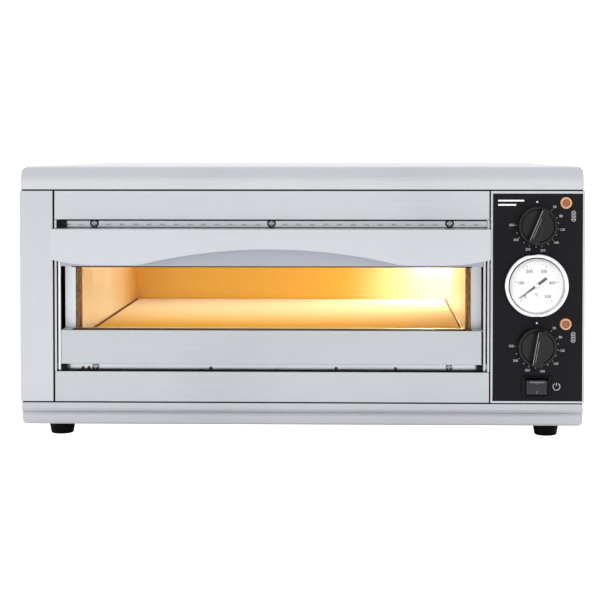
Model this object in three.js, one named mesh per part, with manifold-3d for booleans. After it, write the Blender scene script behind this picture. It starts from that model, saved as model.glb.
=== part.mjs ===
// Countertop deck oven: a stainless cabinet round one insulated baking chamber, with a drop-down
// glazed door, and a control column with two thermostats, a dial thermometer and a rocker switch.
// Millimetres, +Z up. The front faces -Y, the right-hand side is +X, and the origin is on the
// floor under the middle of the whole object.
import * as THREE from "three";
import { mergeVertices } from "three/addons/utils/BufferGeometryUtils.js";
import Module from "manifold-3d";

const wasm = await Module();
wasm.setup();

// ---------- driving dimensions ----------

// Cabinet
const bodyWidth = 568;
const bodyDepth = 500; // front plane to the back of the rear panel
const sheet = 1; // cabinet and door sheet steel
const fit = 0.3; // gap kept between pieces that touch
const seam = 1.2; // shadow line between the sections of the cabinet
const shoulder = 1.5; // how far lid and base stand in from the sides
const lidHeight = 23;
const lidNose = 16; // radius of the lid's front edge
const baseHeight = 22.5;
const rollFlat = 5.6; // upright part of the roll along the base's front
const rollBend = 5; // radius of the S-bend from the roll to the skirt under it
const rollTurn = 50; // steepest slope of that bend, degrees
const skirtRound = 2;
const endRound = 5; // radius of the side edges of lid and base
const upperPanelHeight = 29.2;
const lowerPanelHeight = 30.6;
const panelFold = 7; // depth of the lower panel's folds
const sideFlangeWidth = 33.5;
const flangeFold = 12; // depth of the fold along the flange's inner edge
const panelJoint = 1.8; // gap between the side flange and the front panels
const controlJoint = 1.3; // gap between the front panels and the control column
const controlWidth = 94.1;
const knobLine = 46.1; // knobs and switch, from the column's left edge

// Feet
const footHeight = 16.5;
const footTopRadius = 14.6;
const footBottomRadius = 11.6;
const footInsetX = 33;
const footInsetY = 48;

// Door
const doorSideGap = 3.6;
const hingeGap = 7.4; // open strip under the door
const ventGap = 8.3; // open strip over the door
const bottomRailHeight = 34.4;
const windowHeight = 64.4;
const hoodTopHeight = 38.7; // top edge of the window to the top of the hood
const doorThickness = 24;
const railLip = 14; // lip of the rails behind the window's edge
const stileSide = 2.4; // doubled sheet at the door's edges
const mouthReveal = 1.75; // how far the door's inner strips stand back from the chamber walls
const glassThickness = 4;
const glassLap = 3; // how far the pane runs past the seal
const hoodProud = 28;
const hoodSheet = 1.2;
const hoodOverhang = 2.4; // hood past the door at each end
const hoodTongue = 3; // how far the hood's top laps on to the door
const hoodLipHeight = 35.5; // straight lower edge to the top of the hood
const hoodCrest = 15.8; // rise of the wave above the straight edge
const hoodWaveRadius = 541;
const hoodFilletRadius = 70;
const hoodEndRun = 45; // length over which the lower edge rises at each end
const hoodEndRise = 5.8;
const hingeAxisDepth = 3; // hinge line behind the front plane
const hingePinRadius = 2.2;
const pinRunning = 0.06; // radial play of the hinge pin
const hingeEarRadius = 3.4;
const hingeBlockWidth = 6;
const hingeNoseRadius = 3.2; // round front of the hinge block, inside the sweep of the rail

// Mouth of the chamber
const lintelDepth = 5; // lintel strip behind the front plane
const sillDepth = 9.3; // sill strip behind the front plane
const cheek = 2; // thickness of the recess walls
const sealThickness = 2.4;
const sealWidth = 6;
const mouthSill = 1.6; // edge of the mouth below the stone
const mouthHeight = 102;
const ventSlotLength = 5;
const ventSlotHeight = 1.5;
const ventSlots = 31;
const ventSlotDrop = 5.2; // slots below the upper panel's edge
const ventPitch = 13.7;

// Baking chamber
const chamberWidth = 400;
const chamberDepth = 398;
const chamberHeight = 108.4; // stone to ceiling
const liner = 1; // chamber sheet
const stoneThickness = 14;
const stonePlay = 2.2;
const stoneLedge = 12;
const heaterRadius = 4;
const heaterSpace = 13.6; // room for the element under the stone
const heaterLegs = 4;
const heaterMargin = 45;

// Control column
const overlayThickness = 0.6;
const overlayMargin = { left: 2.1, right: 2.4, top: 2.8, bottom: 2 };
const upperKnobHeight = 218.4;
const lowerKnobHeight = 97.1;
const upperKnobTurn = 20; // degrees clockwise from the off mark
const lowerKnobTurn = 7;
const knobRadius = 19.3;
const knobSkirt = 8;
const knobStandOff = 1.6;
const gripWidth = 9.5;
const gripRise = 15; // how far the grip stands over the skirt's face
const gripInset = 0.8; // from the skirt's rim
const faceDish = { depth: 3, width: 3, edge: 1.2 }; // hollow of the skirt's face behind its rim
const rimDrop = 2; // sloped edge of the skirt
const shaftSeat = 6; // grip material left in front of the shaft
const shaftReach = 8; // shaft behind the front plate
const boreSlack = 0.05;
const shaftRadius = 3;
const gaugeHeight = 158.7;
const gaugeCanRadius = 28.6;
const bezelLip = 3.4; // how far the bezel laps over the panel's hole
const bezelHeight = 7;
const gaugeCanDepth = 28;
const gaugeWall = 1.2;
const gaugeBack = 1.5;
const bezelRound = { face: 4, edge: 1.5, drop: 2 }; // section of the bezel
const dialSet = 4.6; // dial behind the bezel's front
const dialThickness = 0.8;
const glassSet = 1.8;
const needleGap = 1.3; // needle in front of the dial
const needleThickness = 0.6;
const needleHub = 3;
const spindleRadius = 1;
const pointerTip = 21;
const pointerTail = 12.5;
const pointerTurn = 127; // degrees anticlockwise from straight up
const lampRadius = 6;
const lampDome = [3.4, 3, 1.2]; // height of its middle, crown and edge over the plate
const lampReach = 14; // lamp behind the front plate
const lampOffsetX = 28.6; // indicator lamps beside the column's middle
const lampOverKnob = 22.7;
const switchHeight = 57;
const switchWidth = 30.5;
const switchTall = 22;
const switchRim = 4.4;
const rockerTilt = 8;
const rockerPlay = 1.4; // room over and under the paddle for its swing
const switchSill = 2.4; // rim over and under the well
const switchNeck = { x: 2, z: 1.5 }; // how much slimmer the body is than its rim
const switchDepth = 26;
const wellDepth = 12;
const pivotDepth = 3;
const paddle = { crown: 5.6, ends: 7.2, heel: 1, foot: 3, footHalf: 2, play: 0.4 };

// ---------- levels and stations worked out from them ----------

const z = {};
z.baseTop = footHeight + baseHeight;
z.panels = z.baseTop + seam;
z.lowerTop = z.panels + lowerPanelHeight;
z.door = z.lowerTop + hingeGap;
z.window = z.door + bottomRailHeight;
z.windowTop = z.window + windowHeight;
z.hoodTop = z.windowTop + hoodTopHeight;
z.doorTop = z.hoodTop - hoodSheet - fit;
z.upper = z.hoodTop + ventGap;
z.upperTop = z.upper + upperPanelHeight;
z.lid = z.upperTop + seam;
z.top = z.lid + lidHeight;
z.hinge = (z.lowerTop + z.door) / 2;
z.stone = z.window - 11;
z.ceiling = z.stone + chamberHeight;
z.ledge = z.stone - stoneThickness - fit;
z.chamberFloor = z.ledge - sheet - heaterSpace + fit;
z.mouth = z.stone - mouthSill;
z.mouthTop = z.mouth + mouthHeight;

const x = {};
x.left = -bodyWidth / 2;
x.right = bodyWidth / 2;
x.field = x.left + sideFlangeWidth + panelJoint;
x.control = x.right - controlWidth;
x.fieldEnd = x.control - controlJoint;
x.middle = (x.field + x.fieldEnd) / 2;
x.door = x.field + doorSideGap;
x.doorEnd = x.fieldEnd - doorSideGap;
x.chamber = x.middle - chamberWidth / 2;
x.chamberEnd = x.middle + chamberWidth / 2;
x.window = x.chamber - mouthReveal;
x.windowEnd = x.chamberEnd + mouthReveal;
x.partition = x.fieldEnd + fit;
x.partitionEnd = x.partition + sheet;
x.column = x.control + knobLine;
x.gauge = x.column - 0.8;

const y = {};
y.glass = doorThickness + fit;
y.seal = y.glass + glassThickness + fit;
y.mouthPlate = y.seal + sealThickness + fit;
y.chamber = y.mouthPlate + sheet + fit;
y.chamberEnd = y.chamber + chamberDepth;
y.rear = bodyDepth - sheet;
y.overlay = -fit - overlayThickness;

const glandLength = 16;

// ---------- shape helpers ----------

// A closed geometry as a manifold solid.
function solid(geometry) {
  const bare = geometry.index ? geometry.toNonIndexed() : geometry.clone();
  bare.deleteAttribute("normal");
  bare.deleteAttribute("uv");
  const merged = mergeVertices(bare, 1e-4);
  const corners = merged.index.array;
  const kept = [];
  for (let i = 0; i < corners.length; i += 3) {
    const [a, b, c] = corners.slice(i, i + 3);
    if (a !== b && b !== c && c !== a) kept.push(a, b, c);
  }
  return new wasm.Manifold(
    new wasm.Mesh({
      numProp: 3,
      vertProperties: merged.attributes.position.array,
      triVerts: new Uint32Array(kept),
    }),
  );
}

// A manifold solid as a geometry with flat faces.
function geometryOf(made) {
  const mesh = made.getMesh();
  const geometry = new THREE.BufferGeometry();
  geometry.setAttribute("position", new THREE.BufferAttribute(mesh.vertProperties, 3));
  geometry.setIndex(new THREE.BufferAttribute(mesh.triVerts, 1));
  geometry.computeVertexNormals();
  return geometry;
}

const join = (...solids) => solids.reduce((whole, next) => whole.add(next));
const cut = (whole, ...tools) => tools.reduce((rest, tool) => rest.subtract(tool), whole);

// A box between two values on each axis.
function block([x0, x1], [y0, y1], [z0, z1]) {
  const box = new THREE.BoxGeometry(x1 - x0, y1 - y0, z1 - z0);
  box.translate((x0 + x1) / 2, (y0 + y1) / 2, (z0 + z1) / 2);
  return solid(box);
}

const outline = (points) => new THREE.Shape(points.map(([u, v]) => new THREE.Vector2(u, v)));
const extruded = (shape, depth, curveSegments = 8) =>
  new THREE.ExtrudeGeometry(shape, { depth, bevelEnabled: false, curveSegments });

const axisX = new THREE.Vector3(1, 0, 0);
const axisY = new THREE.Vector3(0, 1, 0);
const axisZ = new THREE.Vector3(0, 0, 1);

// A Y-Z outline pulled along X.
function prismX(shape, x0, x1) {
  const geometry = extruded(shape, x1 - x0);
  geometry.applyMatrix4(new THREE.Matrix4().makeBasis(axisY, axisZ, axisX));
  geometry.translate(x0, 0, 0);
  return solid(geometry);
}

// An X-Z outline pulled along Y.
function prismY(shape, y0, y1, curveSegments) {
  const geometry = extruded(shape, y1 - y0, curveSegments);
  geometry.applyMatrix4(new THREE.Matrix4().makeBasis(axisX, axisZ, axisY.clone().negate()));
  geometry.translate(0, y1, 0);
  return solid(geometry);
}

// An X-Y outline pulled up along Z.
function prismZ(shape, z0, z1) {
  const geometry = extruded(shape, z1 - z0);
  geometry.translate(0, 0, z0);
  return solid(geometry);
}

// A solid of revolution about Y, from [radius, y] points.
const turned = (points, segments = 24) =>
  solid(new THREE.LatheGeometry(points.map(([r, h]) => new THREE.Vector2(r, h)), segments));

// A round rod or hole along Y.
const rodY = (radius, y0, y1, segments = 20) =>
  turned([[0, y0], [radius, y0], [radius, y1], [0, y1]], segments);

// The same solid turned from the Y axis to the X axis, or to the Z axis.
const alongX = (made) => made.rotate([0, 0, -90]);
const alongZ = (made) => made.rotate([90, 0, 0]);

// The Y-Z outline of a sheet folded back along its lower and upper edges.
const channel = (z0, z1, lowerFold, upperFold) =>
  outline([
    [0, z0],
    [lowerFold, z0],
    [lowerFold, z0 + sheet],
    [sheet, z0 + sheet],
    [sheet, z1 - sheet],
    [upperFold, z1 - sheet],
    [upperFold, z1],
    [0, z1],
  ]);

// ---------- materials ----------

const finish = (color, roughness, metalness, extra = {}) =>
  new THREE.MeshStandardMaterial({ color, roughness, metalness, ...extra });
const look = {
  stainless: finish(0xd2d6d9, 0.36, 1),
  galvanised: finish(0xb4b8ba, 0.5, 1),
  liner: finish(0xd8c49a, 0.45, 0.9),
  chrome: finish(0xe8eaec, 0.12, 1),
  blackPlate: finish(0x232227, 0.6, 0),
  blackPlastic: finish(0x19191b, 0.4, 0),
  rubber: finish(0x0a0a0a, 0.8, 0),
  glass: finish(0xdfe8e6, 0.05, 0, { transparent: true, opacity: 0.3 }),
  stone: finish(0xe6c690, 0.85, 0),
  element: finish(0x5a5550, 0.55, 0.8),
  wool: finish(0xd9d4c4, 0.95, 0),
  seal: finish(0x77502a, 0.9, 0),
  ceramic: finish(0xeeeae0, 0.5, 0),
  white: finish(0xf4f4f2, 0.5, 0),
  amber: finish(0xb5682c, 0.3, 0),
  brass: finish(0xb89a55, 0.35, 1),
};

// ---------- scene graph ----------

const oven = new THREE.Group();
const front = new THREE.Group(); // its y = 0 is the front plane
front.position.y = -(bodyDepth + glandLength - hoodProud) / 2;
oven.add(front);

function place(name, made, material, parent = front) {
  const mesh = new THREE.Mesh(geometryOf(made), material);
  mesh.name = name;
  parent.add(mesh);
  return mesh;
}

// A group on the control column, at a height and turned clockwise as seen from the front.
function station(xAt, zAt, turn = 0) {
  const group = new THREE.Group();
  group.position.set(xAt, 0, zAt);
  group.rotation.y = THREE.MathUtils.degToRad(turn);
  front.add(group);
  return group;
}

// ---------- cabinet ----------

// A tray with a formed front edge and rounded side edges; up is 1 for the lid, -1 for the base.
// drawFront draws the section of that edge, and everything further in than inside is hollow.
function formedTray(height, drawFront, inside, up) {
  const half = bodyWidth / 2 - shoulder;
  const section = new THREE.Shape();
  section.moveTo(0, 0);
  section.lineTo(bodyDepth, 0);
  section.lineTo(bodyDepth, height);
  drawFront(section);
  const across = new THREE.Shape();
  across.moveTo(-half, 0);
  across.lineTo(half, 0);
  across.lineTo(half, height - endRound);
  across.absarc(half - endRound, height - endRound, endRound, 0, Math.PI / 2, false);
  across.absarc(endRound - half, height - endRound, endRound, Math.PI / 2, Math.PI, false);
  const outer = prismX(section, -half, half).intersect(prismY(across, 0, bodyDepth));
  const inner = block(
    [sheet - half, half - sheet],
    [inside, bodyDepth - sheet],
    [-1, height - sheet],
  );
  const tray = cut(outer, inner);
  return up > 0 ? tray : tray.rotate([0, 180, 0]);
}

// The lid ends in one large nose.
function drawLidFront(section) {
  section.lineTo(lidNose, lidHeight);
  section.absarc(lidNose, lidHeight - lidNose, lidNose, Math.PI / 2, Math.PI, false);
}

// How far the skirt under the roll stands back from it.
function skirtSetBack() {
  return 2 * rollBend * (1 - Math.cos(THREE.MathUtils.degToRad(rollTurn)));
}

// The base ends in a roll that overhangs an upright skirt, with an S-bend between them.
function drawBaseFront(section) {
  const turn = THREE.MathUtils.degToRad(rollTurn);
  const skirt = skirtSetBack();
  const corner = skirt + skirtRound;
  const bendEnd = rollFlat + 2 * rollBend * Math.sin(turn);
  section.lineTo(corner, baseHeight);
  section.absarc(corner, baseHeight - skirtRound, skirtRound, Math.PI / 2, Math.PI, false);
  section.absarc(skirt - rollBend, bendEnd, rollBend, 0, -turn, true);
  section.absarc(rollBend, rollFlat, rollBend, Math.PI - turn, Math.PI, false);
}

function addLidAndBase() {
  const lid = formedTray(lidHeight, drawLidFront, lidNose, 1).translate([0, 0, z.lid]);
  place("top_cover", lid, look.stainless);
  const inside = skirtSetBack() + skirtRound + sheet;
  const base = formedTray(baseHeight, drawBaseFront, inside, -1).translate([0, 0, z.baseTop]);
  place("base_pan", base, look.stainless);
}

// A row of level slots through a side or rear panel.
function slots(count, pitch, z0, slot) {
  const cuts = [];
  for (let i = 0; i < count; i += 1) cuts.push(slot(z0 + i * pitch));
  return cuts;
}

const louvre = { height: 3.5, length: 50, pitch: 9, count: 8, rise: 30, fromRear: 190 };
const glandRadius = 8;
const glandFlange = 12;
const glandRise = 40;
const glandX = x.column;

function addSides() {
  const span = [z.panels, z.upperTop];
  const end = y.rear - fit;
  const flangeEnd = x.left + sideFlangeWidth;
  const folded = outline([
    [x.left, 0],
    [flangeEnd, 0],
    [flangeEnd, flangeFold],
    [flangeEnd - sheet, flangeFold],
    [flangeEnd - sheet, sheet],
    [x.left + sheet, sheet],
    [x.left + sheet, end],
    [x.left, end],
  ]);
  place("left_side_panel", prismZ(folded, ...span), look.stainless);

  const plate = block([x.right - sheet, x.right], [sheet + fit, end], span);
  const fromFront = bodyDepth - louvre.fromRear;
  const vents = slots(louvre.count, louvre.pitch, z.panels + louvre.rise, (z0) =>
    block([x.right - 3, x.right + 1], [fromFront, fromFront + louvre.length], [z0, z0 + louvre.height]),
  );
  place("right_side_panel", cut(plate, ...vents), look.stainless);

  const rear = block([x.left, x.right], [y.rear, bodyDepth], span);
  const rearVents = slots(louvre.count, louvre.pitch, z.ceiling - louvre.pitch * 8, (z0) =>
    block(
      [x.column - louvre.length / 2, x.column + louvre.length / 2],
      [y.rear - 1, bodyDepth + 1],
      [z0, z0 + louvre.height],
    ),
  );
  const glandHole = rodY(glandRadius + fit, y.rear - 1, bodyDepth + 1).translate([
    glandX, 0, z.panels + glandRise,
  ]);
  place("back_panel", cut(rear, ...rearVents, glandHole), look.galvanised);
}

function addFrontPanels() {
  const upper = channel(z.upper, z.upperTop, lintelDepth - fit, panelFold);
  place("upper_front_panel", prismX(upper, x.field, x.fieldEnd), look.stainless);
  const lower = channel(z.panels, z.lowerTop, panelFold, panelFold);
  place("lower_front_panel", prismX(lower, x.field, x.fieldEnd), look.stainless);
}

function addFeet() {
  const foot = alongZ(
    turned(
      [
        [0, 0],
        [footBottomRadius - 1, 0],
        [footBottomRadius, 1],
        [footTopRadius, footHeight - 2],
        [footTopRadius, footHeight - fit],
        [0, footHeight - fit],
      ],
      20,
    ),
  );
  const ends = { front: footInsetY, rear: bodyDepth - footInsetY };
  const sides = { left: x.left + footInsetX, right: x.right - footInsetX };
  for (const [endName, atY] of Object.entries(ends))
    for (const [sideName, atX] of Object.entries(sides))
      place(`foot_${endName}_${sideName}`, foot.translate([atX, atY, 0]), look.rubber);
}

// ---------- mouth frame, seal and screws ----------

const lintel = { bottom: z.hoodTop + 0.8, top: z.upper + 4 };
const sill = { top: z.door - 0.7, bottom: z.lowerTop - 8 };
const screw = { headRadius: 3.4, headHeight: 2, shankRadius: 1.5, shankLength: 9 };
const screwSpread = 179;
const screwLevel = { lintel: (lintel.bottom + z.upper) / 2, sill: z.hinge };

function addMouthFrame() {
  const width = [x.field + fit, x.fieldEnd - fit];
  const plateEnd = y.mouthPlate + sheet;
  const cheeks = [z.lowerTop + fit, z.upper - fit];
  const frame = join(
    block(width, [y.mouthPlate, plateEnd], [sill.bottom, lintel.top + sheet]),
    block(width, [lintelDepth, plateEnd], [lintel.top, lintel.top + sheet]),
    block(width, [lintelDepth, lintelDepth + sheet], [lintel.bottom, lintel.top + sheet]),
    block(width, [sillDepth, plateEnd], [sill.top - sheet, sill.top]),
    block(width, [sillDepth, sillDepth + sheet], [sill.bottom, sill.top]),
    block([x.field, x.field + cheek], [fit, plateEnd], cheeks),
    block([x.fieldEnd - cheek, x.fieldEnd], [fit, plateEnd], cheeks),
  );
  const mouth = block(
    [x.chamber, x.chamberEnd],
    [y.mouthPlate - 1, plateEnd + 1],
    [z.mouth, z.mouthTop],
  );
  const drilled = [];
  for (const at of screwPlaces())
    drilled.push(rodY(screw.shankRadius + 0.2, -5, 20, 12).translate([at.x, 0, at.z]));
  for (let i = 0; i < ventSlots; i += 1) {
    const middle = x.middle + (i - (ventSlots - 1) / 2) * ventPitch;
    if (screwPlaces().some((at) => Math.abs(at.x - middle) < ventSlotLength)) continue;
    drilled.push(
      block(
        [middle - ventSlotLength / 2, middle + ventSlotLength / 2],
        [lintelDepth - 1, lintelDepth + sheet + 1],
        [z.upper - ventSlotDrop - ventSlotHeight / 2, z.upper - ventSlotDrop + ventSlotHeight / 2],
      ),
    );
  }
  place("mouth_frame", cut(frame, mouth, ...drilled), look.stainless);

  const sealOuter = block(
    [x.chamber - sealWidth, x.chamberEnd + sealWidth],
    [y.seal, y.seal + sealThickness],
    [z.mouth - sealWidth, z.mouthTop + sealWidth],
  );
  const sealInner = block(
    [x.chamber, x.chamberEnd],
    [y.seal - 1, y.seal + sealThickness + 1],
    [z.mouth, z.mouthTop],
  );
  place("mouth_seal", cut(sealOuter, sealInner), look.seal);
}

function screwPlaces() {
  const places = [];
  for (const side of [-1, 0, 1])
    places.push({ row: "lintel", x: x.middle + side * screwSpread, z: screwLevel.lintel });
  for (const side of [-1, 1])
    places.push({ row: "sill", x: x.middle + side * screwSpread, z: screwLevel.sill });
  return places;
}

function addScrews() {
  const panHead = (seat) =>
    turned(
      [
        [0, seat - screw.headHeight],
        [screw.headRadius * 0.7, seat - screw.headHeight],
        [screw.headRadius, seat - screw.headHeight * 0.4],
        [screw.headRadius, seat],
        [screw.shankRadius, seat],
        [screw.shankRadius, seat + screw.shankLength],
        [0, seat + screw.shankLength],
      ],
      12,
    );
  const count = { lintel: 0, sill: 0 };
  for (const at of screwPlaces()) {
    count[at.row] += 1;
    const seat = (at.row === "lintel" ? lintelDepth : sillDepth) - fit;
    place(`${at.row}_screw_${count[at.row]}`, panHead(seat).translate([at.x, 0, at.z]), look.chrome);
  }
}

// ---------- door ----------

// A rail of the door: front plate, folds top and bottom, and a lip behind the window's edge.
function doorRail(z0, z1, lipAtTop) {
  const depth = doorThickness - sheet - fit;
  const withLip = [
    [0, z0],
    [depth, z0],
    [depth, z0 + sheet],
    [sheet, z0 + sheet],
    [sheet, z1 - sheet],
    [depth - sheet, z1 - sheet],
    [depth - sheet, z1 - railLip],
    [depth, z1 - railLip],
    [depth, z1],
    [0, z1],
  ];
  const turnedOver = withLip.map(([u, v]) => [u, z0 + z1 - v]).reverse();
  const rail = outline(lipAtTop ? withLip : turnedOver);
  return prismX(rail, x.door + stileSide + fit, x.doorEnd - stileSide - fit);
}

// The stile at one edge of the door, with the ear that carries the hinge pin.
function doorStile(side) {
  const edge = side < 0 ? [x.door, x.door + stileSide] : [x.doorEnd - stileSide, x.doorEnd];
  const strip = side < 0 ? [x.door, x.window] : [x.windowEnd, x.doorEnd];
  const ear = rodY(hingeEarRadius, 0, stileSide);
  const earNeck = block(
    edge,
    [hingeAxisDepth - hingeEarRadius + 0.4, hingeAxisDepth + hingeEarRadius],
    [z.hinge, z.door + 1],
  );
  const pinHole = rodY(hingePinRadius + fit, -1, stileSide + 1);
  const onAxis = (made, at) => alongX(made).translate([at, hingeAxisDepth, z.hinge]);
  return cut(
    join(
      block(edge, [0, doorThickness], [z.door, z.doorTop]),
      block(strip, [doorThickness - sheet, doorThickness], [z.door + 1, z.doorTop]),
      onAxis(ear, edge[0]),
      earNeck,
    ),
    onAxis(pinHole, edge[0]),
  );
}

// The lower edge of the hood: a long arch in the middle, straight shoulders, lifted ends.
function hoodOutline() {
  const half = (x.doorEnd - x.door) / 2 + hoodOverhang;
  const low = z.hoodTop - hoodLipHeight;
  const crest = low + hoodCrest;
  const turn = Math.acos(
    (hoodWaveRadius + hoodFilletRadius - hoodCrest) / (hoodWaveRadius + hoodFilletRadius),
  );
  const filletAt = (hoodWaveRadius + hoodFilletRadius) * Math.sin(turn);
  const endRadius = (hoodEndRun ** 2 + hoodEndRise ** 2) / (2 * hoodEndRise);
  const endTurn = Math.asin(hoodEndRun / endRadius);
  const up = Math.PI / 2;
  const edge = new THREE.Shape();
  edge.moveTo(half, z.hoodTop);
  edge.lineTo(-half, z.hoodTop);
  edge.absarc(hoodEndRun - half, low + endRadius, endRadius, -up - endTurn, -up, false);
  edge.absarc(-filletAt, low + hoodFilletRadius, hoodFilletRadius, -up, -up + turn, false);
  edge.absarc(0, crest - hoodWaveRadius, hoodWaveRadius, up + turn, up - turn, true);
  edge.absarc(filletAt, low + hoodFilletRadius, hoodFilletRadius, -up - turn, -up, false);
  edge.absarc(half - hoodEndRun, low + endRadius, endRadius, -up, -up + endTurn, false);
  return { edge, half };
}

function addDoor() {
  const door = new THREE.Group();
  front.add(door);
  place("door_bottom_rail", doorRail(z.door, z.window, true), look.stainless, door);
  place("door_top_rail", doorRail(z.windowTop, z.doorTop, false), look.stainless, door);
  place("door_left_stile", doorStile(-1), look.stainless, door);
  place("door_right_stile", doorStile(1), look.stainless, door);

  const pane = block(
    [x.chamber - sealWidth - glassLap, x.chamberEnd + sealWidth + glassLap],
    [y.glass, y.glass + glassThickness],
    [z.mouth - sealWidth - glassLap, z.mouthTop + sealWidth + glassLap],
  );
  place("door_glass", pane, look.glass, door);

  const { edge, half } = hoodOutline();
  const gusset = outline([
    [-hoodProud, z.hoodTop - hoodLipHeight + hoodEndRise + 1],
    [-fit, z.hoodTop - hoodLipHeight / 2],
    [-fit, z.hoodTop],
    [-hoodProud, z.hoodTop],
  ]);
  const sides = [-half, half - hoodSheet].map((at) => prismX(gusset, at, at + hoodSheet));
  const tongue = block(
    [x.door + fit - x.middle, x.doorEnd - fit - x.middle],
    [-hoodProud, hoodTongue],
    [z.hoodTop - hoodSheet, z.hoodTop],
  );
  const top = block([-half, half], [-hoodProud, -fit], [z.hoodTop - hoodSheet, z.hoodTop]);
  const face = prismY(edge, -hoodProud, hoodSheet - hoodProud, 14);
  const hood = join(face, top, tongue, ...sides).translate([x.middle, 0, 0]);
  place("door_hood", hood, look.stainless, door);
}

function addHinges() {
  const inner = { left: x.door + stileSide + fit, right: x.doorEnd - stileSide - fit - hingeBlockWidth };
  for (const [side, x0] of Object.entries(inner)) {
    const onAxis = (radius, start, end) =>
      alongX(rodY(radius, start, end)).translate([x0, hingeAxisDepth, z.hinge]);
    const body = join(
      block(
        [x0, x0 + hingeBlockWidth],
        [hingeAxisDepth, sillDepth - fit],
        [z.hinge - hingeNoseRadius, z.hinge + hingeNoseRadius],
      ),
      onAxis(hingeNoseRadius, 0, hingeBlockWidth),
    );
    const bore = onAxis(hingePinRadius + pinRunning, -1, hingeBlockWidth + 1);
    place(`hinge_block_${side}`, cut(body, bore), look.blackPlastic);
    const reach = stileSide + fit + hingeBlockWidth - 0.5;
    const start = side === "left" ? x.door : x.doorEnd - reach;
    const pin = alongX(rodY(hingePinRadius, 0, reach)).translate([start, hingeAxisDepth, z.hinge]);
    place(`hinge_pin_${side}`, pin, look.chrome);
  }
}

// ---------- baking chamber ----------

// A serpentine tube element lying level, with straight legs along Y.
function serpentine(level) {
  const x0 = x.chamber + heaterMargin;
  const pitch = (chamberWidth - 2 * heaterMargin) / (heaterLegs - 1);
  const nearEnd = y.chamber + heaterMargin;
  const farEnd = y.chamberEnd - heaterMargin;
  const bend = pitch / 2;
  const path = new THREE.CurvePath();
  for (let leg = 0; leg < heaterLegs; leg += 1) {
    const at = x0 + leg * pitch;
    const [from, to] = leg % 2 ? [nearEnd, farEnd] : [farEnd, nearEnd];
    const point = (px, py) => new THREE.Vector3(px, py, level);
    const turnIn = leg % 2 ? nearEnd + bend : farEnd - bend;
    const turnOut = leg % 2 ? farEnd - bend : nearEnd + bend;
    path.add(new THREE.LineCurve3(point(at, leg ? turnIn : from), point(at, turnOut)));
    if (leg === heaterLegs - 1) break;
    const corner = 0.5523 * bend; // handle length that makes a cubic follow a quarter circle
    const apex = to;
    const mid = at + bend;
    const pull = leg % 2 ? corner : -corner;
    path.add(new THREE.CubicBezierCurve3(
      point(at, turnOut), point(at, turnOut + pull), point(mid - corner, apex), point(mid, apex)));
    path.add(new THREE.CubicBezierCurve3(
      point(mid, apex), point(mid + corner, apex), point(at + pitch, turnOut + pull),
      point(at + pitch, turnOut)));
  }
  const section = new THREE.Shape();
  section.absarc(0, 0, heaterRadius, 0, 2 * Math.PI, false);
  return solid(new THREE.ExtrudeGeometry(section, { steps: 52, extrudePath: path, curveSegments: 4 }));
}

const lampPort = { depth: 342, rise: 62, radius: 19, dome: 2, bulb: 5.5 };

// Sensing bulbs reach from the control column through the right-hand wall into the chamber.
const probe = { radius: 2, reach: 30, tail: 8 };
const probes = {
  upper_sensor: { y: 120, z: z.ceiling - 9 },
  gauge_probe: { y: 160, z: z.ceiling - 9 },
  lower_sensor: { y: 120, z: z.chamberFloor + heaterSpace / 2 },
};

// Round holes for the sensing bulbs, between two X values.
const probeHoles = (play, x0, x1) =>
  Object.values(probes).map((at) =>
    alongX(rodY(probe.radius + play, 0, x1 - x0, 12)).translate([x0, at.y, at.z]));

function addProbes() {
  const start = x.chamberEnd - probe.reach;
  for (const [name, at] of Object.entries(probes)) {
    const rod = rodY(probe.radius, 0, x.partitionEnd + probe.tail - start, 12);
    place(name, alongX(rod).translate([start, at.y, at.z]), look.brass);
  }
}

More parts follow.
